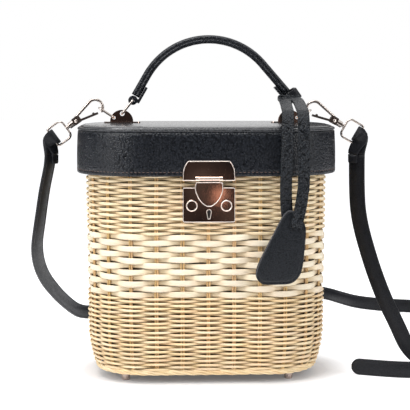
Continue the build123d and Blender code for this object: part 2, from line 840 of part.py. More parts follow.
# Trigger hooks on the small strap rings, with their gates, swivel loops and folded strap ends
for side_name, sign in SIDES.items():
    lean = radians(hook_lean[side_name])
    along = Vector(-sign * cos(lean), 0, sin(lean))
    hook_plane = Plane(origin=(sign * hook_rivet_x, 0, hook_rivet_z), x_dir=along, z_dir=(0, sign, 0))
    across = hook_plane.y_dir
    start = Vector(spine_u, spine_v)
    eye = Vector(eye_u, 0)
    to_start = start - eye
    contact_angle = atan2(to_start.Y, to_start.X) - acos(eye_radius / to_start.length)
    tip_turn = -radians(tip_angle)
    middle_turn = (contact_angle + tip_turn) / 2
    contact = eye + Vector(cos(contact_angle), sin(contact_angle)) * eye_radius
    nose = eye + Vector(cos(middle_turn), sin(middle_turn)) * eye_radius
    tip = eye + Vector(cos(tip_turn), sin(tip_turn)) * eye_radius
    with BuildPart() as hook:
        with BuildLine(hook_plane) as hook_line:
            Line((start.X, start.Y), (contact.X, contact.Y))
            ThreePointArc((contact.X, contact.Y), (nose.X, nose.Y), (tip.X, tip.Y))
        with BuildSketch(Plane(origin=hook_line.line @ 0, z_dir=hook_line.line % 0)):
            Circle(hook_wire)
        sweep(path=hook_line.line)
        with BuildSketch(hook_plane):
            with Locations(((block_start + block_end) / 2, (block_low + block_high) / 2)):
                RectangleRounded(block_end - block_start, block_high - block_low, 1.2)
        extrude(amount=block_thickness / 2, both=True)
        with BuildSketch(hook_plane):
            Circle(2.1)
        extrude(amount=block_thickness / 2 + 0.5, both=True)
        with BuildSketch(hook_plane):
            with Locations(((block_end + 1.0 - 0.8) / 2, (block_low - 1.0 + 1.0) / 2)):
                Rectangle(block_end + 1.8, 1.0 - block_low + 1.0)
        extrude(amount=gate_slot / 2, both=True, mode=Mode.SUBTRACT)
        with BuildSketch(hook_plane):
            with Locations((gate_pivot_u, gate_pivot_v)):
                Circle(gate_pin_radius)
        extrude(amount=block_thickness / 2, both=True)
        barrel_origin = hook_plane.from_local_coords(Vector(block_start - barrel_length, 0, 0))
        with BuildSketch(Plane(origin=barrel_origin, z_dir=along)):
            Circle(barrel_radius)
        extrude(amount=barrel_length + 0.3)
        with BuildSketch(Plane(origin=barrel_origin, z_dir=along)):
            Circle(swivel_radius + pin_gap)
        extrude(amount=barrel_length - 0.8, mode=Mode.SUBTRACT)
    hook.part.label = f"hook_{side_name}"
    export_step(hook.part, f"parts/hook_{side_name}.step")

    gate_way = Vector(gate_end_u - gate_pivot_u, gate_end_v - gate_pivot_v)
    gate_angle = degrees(atan2(gate_way.Y, gate_way.X))
    with BuildPart() as gate:
        with BuildSketch(hook_plane):
            with Locations((gate_pivot_u, gate_pivot_v)):
                Circle(gate_hub_radius)
            with Locations(Location(((gate_pivot_u + gate_end_u) / 2, (gate_pivot_v + gate_end_v) / 2), gate_angle)):
                Rectangle(gate_way.length, gate_width)
            nub = Vector(gate_pivot_u, gate_pivot_v) + gate_way * 0.8
            with Locations((nub.X, nub.Y + 1.0)):
                Circle(1.1)
            with Locations((gate_pivot_u, gate_pivot_v)):
                Circle(gate_pin_radius + pin_gap, mode=Mode.SUBTRACT)
        extrude(amount=gate_thickness / 2, both=True)
    gate.part.label = f"gate_{side_name}"
    export_step(gate.part, f"parts/gate_{side_name}.step")

    with BuildSketch(hook_plane) as loop_outline:
        with Locations(((loop_bar_u + loop_shoulder_u) / 2, 0)):
            Rectangle(loop_shoulder_u - loop_bar_u, 2 * loop_half_width)
        fillet(loop_outline.vertices().group_by(Axis.X)[0], loop_bar_corner)
        fillet(loop_outline.vertices().group_by(Axis.X)[-1], loop_corner)
    loop_path = loop_outline.sketch.face().outer_wire()
    with BuildPart() as swivel_loop:
        with BuildSketch(Plane(origin=loop_path @ 0, z_dir=loop_path % 0)):
            Circle(loop_wire)
        sweep(path=loop_path)
        post_origin = hook_plane.from_local_coords(Vector(loop_shoulder_u, 0, 0))
        with BuildSketch(Plane(origin=post_origin, z_dir=along)):
            Circle(swivel_radius)
        extrude(amount=block_start - 1.2 - loop_shoulder_u)
    swivel_loop.part.label = f"swivel_loop_{side_name}"
    export_step(swivel_loop.part, f"parts/swivel_loop_{side_name}.step")

    roll_start = hook_plane.from_local_coords(Vector(loop_bar_u, -strap_width / 2, 0))
    bar_middle = hook_plane.from_local_coords(Vector(loop_bar_u, 0, 0))
    roll_radius = loop_wire + strap_roll_gap + strap_thickness
    with BuildPart() as strap_end:
        with BuildSketch(Plane(origin=roll_start, z_dir=across)):
            Circle(roll_radius)
        extrude(amount=strap_width)
        with BuildSketch(Plane.XY.offset(strap_end_bottom)):
            with Locations(Location((strap_end_x[side_name], 0), strap_turn[side_name])):
                Rectangle(strap_width, strap_end_thickness)
        extrude(amount=bar_middle.Z - strap_end_bottom)
        with BuildSketch(Plane(origin=loop_path @ 0, z_dir=loop_path % 0)):
            Circle(loop_wire + strap_roll_gap)
        sweep(path=loop_path, mode=Mode.SUBTRACT)
    strap_end.part.label = f"strap_end_{side_name}"
    export_step(strap_end.part, f"parts/strap_end_{side_name}.step")

    seat_angle = radians(strap_ring_seat_angle)
    seat_local = Vector(eye_u + strap_ring_seat * cos(seat_angle), strap_ring_seat * sin(seat_angle), 0)
    strap_bar = hook_plane.from_local_coords(seat_local)
    strap_hole = Vector(sign * strap_hole_x, 0, strap_hole_z)
    strap_way = strap_bar - strap_hole
    strap_ring_plane = Plane(
        origin=strap_hole + strap_way * 0.5, x_dir=(0, 1, 0), z_dir=Vector(0, 1, 0).cross(strap_way)
    )
    with BuildSketch(strap_ring_plane) as strap_ring_outline:
        RectangleRounded(2 * strap_ring_half_width, strap_way.length, strap_ring_corner)
    strap_ring_path = strap_ring_outline.sketch.face().outer_wire()
    with BuildPart() as strap_ring:
        with BuildSketch(Plane(origin=strap_ring_path @ 0, z_dir=strap_ring_path % 0)):
            Circle(strap_ring_wire)
        sweep(path=strap_ring_path)
    strap_ring.part.label = f"strap_ring_{side_name}"
    export_step(strap_ring.part, f"parts/strap_ring_{side_name}.step")

# Key fob: a hitch round the handle's right end, two strands and a bell-shaped tag of two layers
hitch_way = Vector(-cos(radians(fob_lean)), 0, sin(radians(fob_lean)))
hitch_plane = Plane(origin=(fob_hitch_x, 0, fob_hitch_z), x_dir=(0, 1, 0), z_dir=hitch_way)
with BuildPart() as fob_hitch:
    with BuildSketch(hitch_plane):
        RectangleRounded(
            hitch_inner_depth + 2 * hitch_thickness,
            hitch_inner_width + 2 * hitch_thickness,
            4.0,
        )
        RectangleRounded(hitch_inner_depth, hitch_inner_width, 2.4, mode=Mode.SUBTRACT)
        Polygon(
            (-hitch_crown_length / 2, hitch_inner_width / 2),
            (-hitch_crown_flat / 2, hitch_inner_width / 2 - hitch_crown),
            (hitch_crown_flat / 2, hitch_inner_width / 2 - hitch_crown),
            (hitch_crown_length / 2, hitch_inner_width / 2),
            (0, hitch_inner_width / 2 + hitch_thickness / 2),
            align=None,
        )
    extrude(amount=hitch_length / 2, both=True)
fob_hitch.part.label = "fob_hitch"
export_step(fob_hitch.part, "parts/fob_hitch.step")

strand_y = -strand_front + strand_thickness / 2
hitch_front = hitch_inner_depth / 2 + hitch_thickness + strand_hitch_gap
strand_top_y = -hitch_front - strand_thickness / 2
tag_front = strand_front - strand_thickness - tag_gap
behind_y = -tag_front + 2 * tag_thickness + 2 * tag_gap + strand_thickness / 2
right_strand = [
    (73.0, strand_top_y, 230.0),
    (73.2, strand_top_y - 14, 229.0),
    (73.4, strand_top_y - 34, 226.0),
    (73.6, strand_y + 5, 219.5),
    (73.8, strand_y + 0.4, 207.0),
    (74.0, strand_y, 186.0),
    (74.0, strand_y - 0.2, 160.0),
    (70.6, strand_y, 141.0),
    (67.8, strand_y, 129.0),
]
left_strand = [
    (63.4, strand_top_y, 229.0),
    (63.0, strand_top_y - 14, 228.5),
    (62.4, strand_top_y - 34, 225.8),
    (61.8, strand_y + 5, 219.5),
    (61.2, strand_y + 0.4, 207.0),
    (60.6, strand_y, 188.0),
    (60.2, strand_y + 0.4, 173.0),
    (60.2, behind_y - 1.0, 156.0),
    (61.2, behind_y, 141.0),
    (62.6, behind_y, 131.0),
]
with BuildPart() as fob_strands:
    for strand in (right_strand, left_strand):
        add(band(strand, (1, 0, 0), (1, 0, 0), strand_width, strand_thickness))
    with BuildSketch(front_plane(hitch_front)):
        with Locations((68.2, 229.8)):
            RectangleRounded(19.0, 5.6, 2.0)
    extrude(amount=strand_thickness)
fob_strands.part.label = "fob_strands"
export_step(fob_strands.part, "parts/fob_strands.step")

tag_corners = [
    (63.5, 143.5),
    (72.0, 138.5),
    (76.2, 127.0),
    (73.6, 97.0),
    (65.0, 85.0),
    (42.0, 84.5),
    (36.6, 92.0),
    (38.2, 101.0),
    (56.5, 136.5),
]
for layer_name, layer_front in (("front", tag_front), ("back", tag_front - tag_thickness - tag_gap)):
    with BuildPart() as tag:
        with BuildSketch(front_plane(layer_front)) as tag_outline:
            with BuildLine():
                Polyline(*tag_corners, close=True)
            make_face()
            fillet(tag_outline.vertices(), tag_corner)
            if layer_name == "front":
                with Locations(Location((tag_slot_x, tag_slot_z), tag_slot_turn)):
                    Rectangle(tag_slot_length, tag_slot_width, mode=Mode.SUBTRACT)
        extrude(amount=-tag_thickness)
    tag.part.label = f"fob_tag_{layer_name}"
    export_step(tag.part, f"parts/fob_tag_{layer_name}.step")

# Shoulder strap on the left: it falls from its fold, swings behind the bag and turns onto its edge
floor_z = strap_width / 2 + 0.25
left_turn = radians(strap_turn["left"])
left_fall = [
    (strap_end_x["left"], 0, strap_end_bottom - strap_start_gap),
    (-132.9, 0.2, 176.0),
    (-135.4, 2.6, 166.0),
    (-138.8, 6, 151.7),
    (-143.6, 16, 124.9),
    (-149.8, 40, 95.6),
    (-148.8, 82, 66.7),
    (-139.2, 130, 41.7),
    (-129.3, 172, 24.6),
    (-120.5, 203, 12.4),
    (-107.5, 226.5, floor_z + 0.3),
    (-92.0, 244, floor_z),
]
left_across = (cos(left_turn), sin(left_turn), 0)
with BuildPart() as strap_left_fall:
    add(band(left_fall, left_across, (0, 0, 1), strap_width, strap_thickness))
strap_left_fall.part.label = "strap_left_fall"
export_step(strap_left_fall.part, "parts/strap_left_fall.step")

# Shoulder strap on the right: it falls in one upright plane and ends at the buckle
right_turn = radians(strap_turn["right"])
fall_way = Vector(cos(right_turn), sin(right_turn), 0)
fall_front = Vector(sin(right_turn), -cos(right_turn), 0)
fall_start = Vector(strap_end_x["right"], 0, 0)
buckle_half = strap_width / 2 + buckle_strap_gap + buckle_wire
buckle_z = buckle_half + buckle_wire + 0.3
fold_radius = buckle_wire + strap_roll_gap + strap_thickness
fold_end = buckle_way - fold_radius - 5.0
right_fall = [
    (0, strap_end_bottom - strap_start_gap),
    (0, 150.0),
    (3.0, 125.0),
    (12.5, 94.5),
    (19.9, 75.0),
    (27.2, 58.4),
    (37.1, 40.2),
    (46.2, 21.2),
    (60.0, buckle_z + 2.4),
    (76.0, buckle_z + 0.15),
    (fold_end - 0.3, buckle_z),
]
right_points = []
for out, height in right_fall:
    place = fall_start + fall_way * out
    right_points.append((place.X, place.Y, height))
right_across = (fall_way.X, fall_way.Y, 0)
with BuildPart() as strap_right_fall:
    add(band(right_points, right_across, (0, 0, 1), strap_width, strap_thickness))
strap_right_fall.part.label = "strap_right_fall"
export_step(strap_right_fall.part, "parts/strap_right_fall.step")


def buckle_point(along, front, height):
    """A point beside the buckle's bar: along the fall's plane, in front of it and above the floor."""
    place = fall_start + fall_way * (buckle_way + along) + fall_front * front
    return (place.X, place.Y, height)


# Long strap on the floor, standing on its edge: round behind the bag, through the buckle and on to its tail
floor_route = [
    (-91.7, 244.3, floor_z),
    (-70.5, 262, floor_z),
    (-43, 278, floor_z),
    (0, 300, floor_z),
    (50, 322, floor_z),
    (95, 340, floor_z),
    (128, 348, floor_z),
    (147, 337, floor_z),
    (160, 305, floor_z),
    (172, 279, floor_z),
    (198, 260, floor_z),
    (227, 252, floor_z),
    (262, 240, floor_z),
    (292, 212, floor_z),
    (310, 170, floor_z),
    (316, 122, floor_z),
    (312, 74, floor_z),
    (303, 32, floor_z),
    (293.5, 0, floor_z),
    (286.5, -25.5, floor_z),
    (278.1, -49.3, floor_z + 0.5),
    (267.1, -58.2, floor_z + 1.1),
    (252.9, -59.7, floor_z + 1.7),
    buckle_point(13.5, -2.7, buckle_z),
    buckle_point(6.5, 4.6, buckle_z),
    buckle_point(-3.0, 5.9, buckle_z),
    buckle_point(-24.0, 6.5, buckle_z - 0.2),
    (171, -43, floor_z + 0.4),
    (146, -35, floor_z),
    (121.3, -24, floor_z),
]
with BuildPart() as strap_floor:
    add(band(floor_route, (0, 0, 1), (0, 0, 1), strap_width, strap_thickness))
    hole_place = buckle_point(9.7, 1.0, buckle_z)
    with BuildSketch(Plane(origin=hole_place, x_dir=fall_way, z_dir=(0, 0, 1))):
        Rectangle(0.72 * prong_hole_length, 0.72 * prong_hole_length)
    extrude(amount=prong_hole_height / 2, both=True, mode=Mode.SUBTRACT)
strap_floor.part.label = "strap_floor"
export_step(strap_floor.part, "parts/strap_floor.step")

# Buckle: a wire frame, a prong on its bar, the folded strap end round the bar and a keeper for the tail
bar_plane = Plane(origin=buckle_point(0, 0, buckle_z), x_dir=fall_way, z_dir=(0, 0, 1))
frame_plane = Plane(origin=buckle_point(buckle_length / 2, 0, buckle_z), x_dir=fall_way, z_dir=fall_front)
with BuildSketch(frame_plane) as frame_outline:
    RectangleRounded(buckle_length, 2 * buckle_half, buckle_corner)
frame_path = frame_outline.sketch.face().outer_wire()
with BuildPart() as buckle_frame:
    with BuildSketch(Plane(origin=frame_path @ 0, z_dir=frame_path % 0)):
        Circle(buckle_wire)
    sweep(path=frame_path)
buckle_frame.part.label = "buckle_frame"
export_step(buckle_frame.part, "parts/buckle_frame.step")

prong_lift = buckle_wire + prong_radius + 0.1
prong_way = (fall_way * buckle_length + fall_front * prong_lift).normalized()
prong_start = Vector(*buckle_point(0, 0, buckle_z)) + prong_way * 1.4
with BuildPart() as buckle_prong:
    with BuildSketch(bar_plane):
        Circle(prong_hub_radius)
    extrude(amount=1.2, both=True)
    with BuildSketch(Plane(origin=prong_start, z_dir=prong_way)):
        Circle(prong_radius)
    extrude(amount=buckle_length)
    with BuildSketch(bar_plane):
        Circle(buckle_wire + pin_gap)
    extrude(amount=2.0, both=True, mode=Mode.SUBTRACT)
buckle_prong.part.label = "buckle_prong"
export_step(buckle_prong.part, "parts/buckle_prong.step")

with BuildPart() as buckle_fold:
    with BuildSketch(bar_plane):
        Circle(fold_radius)
        with Locations(((fold_end - buckle_way - 1.0) / 2, 0)):
            Rectangle(buckle_way - fold_end - 1.0, strap_thickness)
        Circle(buckle_wire + strap_roll_gap, mode=Mode.SUBTRACT)
    extrude(amount=strap_width / 2, both=True)
    with BuildSketch(bar_plane):
        Circle(prong_hub_radius + 0.3)
        with Locations((prong_hub_radius + 1.0, 0.3)):
            Rectangle(2 * prong_hub_radius + 2.0, 2 * prong_hub_radius + 0.6)
    extrude(amount=1.5, both=True, mode=Mode.SUBTRACT)
buckle_fold.part.label = "buckle_fold"
export_step(buckle_fold.part, "parts/buckle_fold.step")

keeper_back = -strap_thickness / 2 - keeper_gap
keeper_front = 6.4 + strap_thickness / 2 + keeper_gap
keeper_plane = Plane(origin=buckle_point(keeper_way - buckle_way, 0, buckle_z), x_dir=fall_front, z_dir=fall_way)
with BuildPart() as strap_keeper:
    with BuildSketch(keeper_plane):
        with Locations(((keeper_back + keeper_front) / 2, 0)):
            RectangleRounded(
                keeper_front - keeper_back + 2 * keeper_thickness,
                strap_width + 2 * keeper_gap + 2 * keeper_thickness,
                1.5,
            )
            Rectangle(keeper_front - keeper_back, strap_width + 2 * keeper_gap, mode=Mode.SUBTRACT)
    extrude(amount=keeper_width / 2, both=True)
strap_keeper.part.label = "strap_keeper"
export_step(strap_keeper.part, "parts/strap_keeper.step")
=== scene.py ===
import cmath
import json
import math
import bmesh
import bpy
import numpy as np
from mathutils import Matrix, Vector


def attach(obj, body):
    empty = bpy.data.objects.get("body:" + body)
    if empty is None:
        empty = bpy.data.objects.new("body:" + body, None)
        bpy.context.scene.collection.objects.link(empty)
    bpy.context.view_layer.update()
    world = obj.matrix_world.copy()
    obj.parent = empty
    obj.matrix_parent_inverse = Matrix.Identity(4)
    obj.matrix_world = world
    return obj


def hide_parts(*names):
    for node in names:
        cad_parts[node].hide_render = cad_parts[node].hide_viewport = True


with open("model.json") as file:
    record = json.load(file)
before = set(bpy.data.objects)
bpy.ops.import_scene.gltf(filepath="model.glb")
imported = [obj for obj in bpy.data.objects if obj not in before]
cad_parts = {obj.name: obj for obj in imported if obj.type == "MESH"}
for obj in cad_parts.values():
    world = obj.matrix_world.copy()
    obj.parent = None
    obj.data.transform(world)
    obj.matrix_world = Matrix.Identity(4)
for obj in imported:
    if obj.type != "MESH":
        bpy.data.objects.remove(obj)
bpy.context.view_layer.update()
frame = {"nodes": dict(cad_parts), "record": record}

rng = np.random.default_rng(7)
scene = bpy.context.scene
scene.view_settings.view_transform = "Standard"

# Places and sizes of the bag are in millimetres, and its front looks towards -Y.
# The camera, lamps, stage and node settings are in metres.
MM = 0.001
SIDES = (("left", -1), ("right", 1))

# Basket wall
BASKET_WIDTH = 199.5
BASKET_DEPTH = 124.5
BASKET_RADIUS = 51.0
WALL_REACH = 3.5
BASKET_FOOT = 6.5
BASKET_TOP = 174.0
WALL_TAPER = 1.6
FOOT_CURVE = 6.6
FOOT_CURVE_POWER = 2.2
FOOT_CURVE_HEIGHT = 36.0
FLAT_LOW = 71.7
FLAT_HIGH = 122.5
STAKES = 26
REED_OUT = 0.75

# Lid and lock
LID_HALF_X = 106.5
LID_HALF_Y = 69.0
LID_RADIUS = 55.0
LOCK_FRONT = 70.0
SHIELD_FRONT = 72.95
HOOK_X = 107.8
HOOK_Z = 210.9

# Shoulder strap: FLOOR is the height of its middle where it lies on the floor
STRAP_WIDTH = 13.5
STRAP_THICKNESS = 2.6
STRAP_TOP = 183.6
LEFT_STRAP_X = -129.6
RIGHT_STRAP_X = 127.2
FLOOR = 7.0
BUCKLE_Z = 9.1


def place_camera():
    """The photograph's view: a frame of 410 by 410 pixels, with the focal length in pixels."""
    frame_pixels = 410
    focal_pixels = 1282.0
    looks_down = 5.772
    turned_right = 2.115
    data = bpy.data.cameras.new("camera")
    data.sensor_width = 36.0
    data.sensor_fit = "HORIZONTAL"
    data.lens = focal_pixels / frame_pixels * data.sensor_width
    camera = bpy.data.objects.new("camera", data)
    camera.location = (-0.040145, -1.071274, 0.248608)
    camera.rotation_euler = (math.radians(90 - looks_down), 0.0, math.radians(-turned_right))
    scene.collection.objects.link(camera)
    scene.camera = camera


place_camera()


# Node helpers
class Tree:
    """A node tree with short calls that add nodes and fill their inputs."""

    def __init__(self, owner, clear=False):
        owner.use_nodes = True
        self.nodes = owner.node_tree.nodes
        self.links = owner.node_tree.links
        if clear:
            self.nodes.clear()

    def fill(self, node, inputs):
        """Sets inputs by name or number, each to a value or to the output of another node."""
        for key, value in inputs.items():
            if isinstance(value, bpy.types.NodeSocket):
                self.links.new(value, node.inputs[key])
            else:
                node.inputs[key].default_value = value

    def add(self, kind, inputs, **settings):
        node = self.nodes.new("ShaderNode" + kind)
        for key, value in settings.items():
            setattr(node, key, value)
        self.fill(node, inputs)
        return node

    def place(self):
        return self.add("TexCoord", {}).outputs["Object"]

    def stretch(self, source, scale):
        return self.add("Mapping", {"Vector": source, "Scale": scale}).outputs["Vector"]

    def noise(self, source, scale, detail=3.0, rough=0.55):
        inputs = {"Vector": source, "Scale": scale, "Detail": detail, "Roughness": rough}
        return self.add("TexNoise", inputs).outputs["Fac"]

    def ramp(self, source, stops):
        node = self.add("ValToRGB", {"Fac": source})
        elements = node.color_ramp.elements
        while len(elements) < len(stops):
            elements.new(0.5)
        for element, (position, colour) in zip(elements, stops):
            element.position = position
            element.color = (*colour, 1.0)
        return node.outputs["Color"]

    def scaled(self, source, from_low, from_high, low, high):
        inputs = {"Value": source, "From Min": from_low, "From Max": from_high, "To Min": low, "To Max": high}
        return self.add("MapRange", inputs).outputs["Result"]

    def spread(self, source, low, high):
        """Maps the usual span of a noise to low and high."""
        return self.scaled(source, 0.3, 0.7, low, high)

    def combine(self, operation, first, second):
        return self.add("Math", {0: first, 1: second}, operation=operation).outputs["Value"]

    def bump(self, height, distance, strength, before=None):
        inputs = {"Height": height, "Distance": distance, "Strength": strength}
        if before is not None:
            inputs["Normal"] = before
        return self.add("Bump", inputs).outputs["Normal"]


def surface(name):
    """A new material with its tree, its shader and the object coordinates."""
    material = bpy.data.materials.new(name)
    tree = Tree(material)
    return material, tree, tree.nodes["Principled BSDF"], tree.place()


# Materials
def leather(name, base, pebble_highlight, pebble=720.0, depth=0.00042, rough=(0.27, 0.40), specular=0.34):
    """Black leather with a pebbled grain: pebble is in cells per metre, and the third colour is a painted
    highlight on the pebbles' tops.
    """
    material, tree, shader, place = surface(name)
    bend = tree.add("TexNoise", {"Vector": place, "Scale": 500.0, "Detail": 2.0}).outputs["Color"]
    bent = tree.add("Mix", {"Factor": 0.0006, 4: place, 5: bend}, data_type="VECTOR").outputs[1]
    cells = tree.add("TexVoronoi", {"Vector": bent, "Scale": pebble, "Smoothness": 0.45}, feature="SMOOTH_F1")
    distance = cells.outputs["Distance"]
    pebbles = tree.bump(tree.combine("SUBTRACT", 1.0, distance), depth, 0.9)
    tree.fill(shader, {
        # Painted highlight: the pebbles' tops are coloured lighter than the hollows between them.
        "Base Color": tree.ramp(distance, [(0.15, pebble_highlight), (0.75, base)]),
        "Roughness": tree.spread(tree.noise(place, 320.0), *rough),
        "Specular IOR Level": specular,
        "Normal": tree.bump(tree.noise(place, 2600.0, 2.0), 0.00004, 0.5, pebbles),
    })
    return material


def metal(name, colour, rough):
    """Polished plated metal with faint handling marks."""
    material, tree, shader, place = surface(name)
    pale = tuple(min(1.0, 1.05 * part) for part in colour)
    marks = tree.noise(tree.stretch(place, (1.0, 1.0, 0.3)), 420.0, 5.0, 0.7)
    tree.fill(shader, {
        "Metallic": 1.0,
        "Base Color": tree.ramp(tree.noise(place, 35.0), [(0.3, colour), (0.75, pale)]),
        "Roughness": tree.spread(marks, *rough),
        "Normal": tree.bump(tree.noise(place, 90.0, 2.0), 0.00006, 0.25),
    })
    return material


def reed(name, dark, middle, rough):
    """Split cane: streaks along the reed over the tint that the mesh carries, with the woven rows' painted
    shade in it.
    """
    material, tree, shader, place = surface(name)
    tint_and_shade = tree.add("Attribute", {}, attribute_name="tint_and_shade").outputs["Color"]
    streaks = tree.noise(tree.stretch(place, (0.25, 0.25, 6.0)), 340.0, 4.0, 0.6)
    tone = tree.ramp(streaks, [(0.25, dark), (0.5, middle), (0.8, (1.0, 1.0, 1.0))])
    colour = tree.add("Mix", {"Factor": 1.0, 6: tint_and_shade, 7: tone}, data_type="RGBA", blend_type="MULTIPLY")
    grain = tree.noise(tree.stretch(place, (0.3, 0.3, 5.0)), 900.0, 4.0, 0.65)
    tree.fill(shader, {
        "Base Color": colour.outputs[2],
        "Roughness": tree.spread(tree.noise(place, 120.0), rough - 0.1, rough + 0.12),
        "Specular IOR Level": 0.35,
        "Normal": tree.bump(grain, 0.00012, 0.6),
    })
    return material


def plain(name, low, high, scale, rough):
    """A quiet surface with a fine mottle."""
    material, tree, shader, place = surface(name)
    mottle = tree.noise(place, scale, 4.0)
    tree.fill(shader, {
        "Base Color": tree.ramp(mottle, [(0.3, low), (0.7, high)]),
        "Roughness": tree.spread(mottle, rough - 0.08, rough + 0.08),
        "Normal": tree.bump(tree.noise(place, scale * 12), 0.00008, 0.6),
    })
    return material


def cloth(name, low, high):
    """Plain woven cloth: two crossing waves of thread."""
    material, tree, shader, place = surface(name)
    waves = []
    for direction in ("X", "Z"):
        inputs = {"Vector": place, "Scale": 420.0, "Distortion": 0.4}
        waves.append(tree.add("TexWave", inputs, bands_direction=direction).outputs["Fac"])
    threads = tree.combine("MULTIPLY", *waves)
    tree.fill(shader, {
        "Base Color": tree.ramp(threads, [(0.0, low), (1.0, high)]),
        "Roughness": 0.85,
        "Normal": tree.bump(threads, 0.0001, 0.5),
    })
    return material


BLACK = leather("leather_black", (0.0036, 0.0045, 0.0062), (0.018, 0.021, 0.027), rough=(0.25, 0.36))
SMOOTH_BLACK = leather("leather_smooth", (0.0055, 0.006, 0.0078), (0.014, 0.015, 0.019),
                       pebble=1200.0, depth=0.00016, rough=(0.36, 0.50), specular=0.22)
# The lid's top panel: the black leather painted lighter, a painted highlight for the light on its top,
# besides a stronger specular.
TOP_LIT_BLACK = leather("leather_top_lit", (0.012, 0.013, 0.016), (0.030, 0.032, 0.038),
                    pebble=640.0, depth=0.00012, rough=(0.16, 0.25), specular=1.0)
# The piping's bead: the black leather painted lighter, a painted highlight along its top.
BEAD_HIGHLIGHT_BLACK = leather("leather_bead_highlight", (0.010, 0.011, 0.013), (0.045, 0.048, 0.054),
                     pebble=640.0, depth=0.0003, rough=(0.26, 0.36), specular=0.55)
STRAND_BLACK = leather("leather_strand", (0.0018, 0.0022, 0.003), (0.024, 0.028, 0.034),
                       pebble=800.0, depth=0.0008, rough=(0.24, 0.36), specular=0.22)
TAG_BLACK = leather("leather_tag", (0.0045, 0.0055, 0.0072), (0.017, 0.020, 0.025),
                    pebble=1150.0, depth=0.00022, rough=(0.27, 0.37), specular=0.32)
ROSE = metal("metal_rose", (0.90, 0.72, 0.62), (0.04, 0.09))
# The rims' metal: the rose metal painted paler, a painted highlight along raised edges, knobs and rivets.
RIM_HIGHLIGHT = metal("metal_rim_highlight", (0.96, 0.86, 0.79), (0.28, 0.36))
# The hooks, gates, loops and rings: a greyer metal, painted darker as a painted reflection of dark
# surroundings.
SHADED_WIRE = metal("metal_wire_shaded", (0.60, 0.54, 0.50), (0.20, 0.28))
FOOT = metal("metal_foot", (0.56, 0.46, 0.41), (0.22, 0.32))
STEEL = metal("steel", (0.55, 0.55, 0.56), (0.2, 0.32))
# Painted shade for the bottom of the keyhole.
KEYHOLE_SHADE = plain("keyhole_shade", (0.002, 0.002, 0.002), (0.005, 0.004, 0.004), 200.0, 0.8)
# A painted highlight for the tag's upper left edge.
TAG_EDGE_HIGHLIGHT = plain("tag_edge_highlight", (0.05, 0.05, 0.055), (0.11, 0.11, 0.12), 900.0, 0.6)
WARM_THREAD = plain("thread_warm", (0.12, 0.07, 0.06), (0.24, 0.16, 0.13), 900.0, 0.6)
BOARD = plain("board", (0.20, 0.14, 0.09), (0.28, 0.20, 0.13), 160.0, 0.75)
REED = reed("reed", (0.74, 0.66, 0.56), (0.98, 0.96, 0.93), 0.55)
FLAT_REED = reed("reed_flat", (0.84, 0.78, 0.70), (0.98, 0.97, 0.95), 0.5)
LINING = cloth("lining_cloth", (0.035, 0.022, 0.014), (0.085, 0.055, 0.036))


# Mesh helpers
def add_mesh(name, points, faces, material, body, smooth=True):
    """A mesh piece of points in millimetres that rides on a body."""
    mesh = bpy.data.meshes.new(name)
    mesh.from_pydata((np.asarray(points, float) * MM).tolist(), [], faces)
    mesh.validate()
    shape = bmesh.new()
    shape.from_mesh(mesh)
    bmesh.ops.recalc_face_normals(shape, faces=shape.faces)
    shape.to_mesh(mesh)
    shape.free()
    mesh.polygons.foreach_set("use_smooth", [smooth] * len(mesh.polygons))
    mesh.materials.append(material)
    piece = bpy.data.objects.new(name, mesh)
    scene.collection.objects.link(piece)
    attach(piece, body)
    return piece


def tube_faces(rings, count, closed_way, first=0, caps=False):
    """Quads between rings of count points each; closed_way joins the last ring to the first."""
    faces = []
    last = rings if closed_way else rings - 1
    for i in range(last):
        a = first + i * count
        b = first + ((i + 1) % rings) * count
        for j in range(count):
            k = (j + 1) % count
            faces.append((a + j, a + k, b + k, b + j))
    if caps:
        faces.append(tuple(first + j for j in reversed(range(count))))
        faces.append(tuple(first + (rings - 1) * count + j for j in range(count)))
    return faces


def perimeter(half_x, half_y, radius):
    return 4 * ((half_x - radius) + radius * math.pi / 2 + (half_y - radius))


def outline(half_x, half_y, radius, ways, shift):
    """Places and outward directions round a rounded rectangle, from the front's middle towards +X."""
    sx = half_x - radius
    sy = half_y - radius
    quarter = sx + radius * math.pi / 2 + sy
    ways = np.mod(ways, 4 * quarter)
    side = np.minimum((ways // quarter).astype(int), 3)
    rest = ways - side * quarter
    rest = np.where(side % 2 == 1, quarter - rest, rest)
    angle = np.clip((rest - sx) / radius, 0, math.pi / 2)
    nx = np.sin(angle)
    ny = np.cos(angle)
    x = np.minimum(rest, sx) + (radius + shift) * nx
    y = np.minimum(quarter - rest, sy) + (radius + shift) * ny
    flip_x = np.where(side < 2, 1.0, -1.0)
    flip_y = np.where((side == 1) | (side == 2), 1.0, -1.0)
    return x * flip_x, y * flip_y, nx * flip_x, ny * flip_y


def skin_rings(half_x, half_y, radius, profile, count):
    """Points and faces of a skin round a rounded rectangle, one ring for each (inset, height)."""
    ways = np.arange(count) * perimeter(half_x, half_y, radius) / count
    rows = []
    for inset, z in profile:
        x, y, _, _ = outline(half_x, half_y, radius, ways, -inset)
        rows.append(np.stack([x, y, np.full(count, z)], axis=1))
    return np.concatenate(rows), tube_faces(len(profile), count, False)


def ring(place, first, second, around):
    """Points of an ellipse about a place, from its two half axes."""
    angles = np.arange(around)[:, None] * 2 * np.pi / around
    return place + np.cos(angles) * first + np.sin(angles) * second


def unit(rows):
    return rows / np.linalg.norm(rows, axis=1)[:, None]


def run_of(points):
    """The way along a line of points, up to each of them."""
    return np.concatenate([[0.0], np.cumsum(np.linalg.norm(np.diff(points, axis=0), axis=1))])


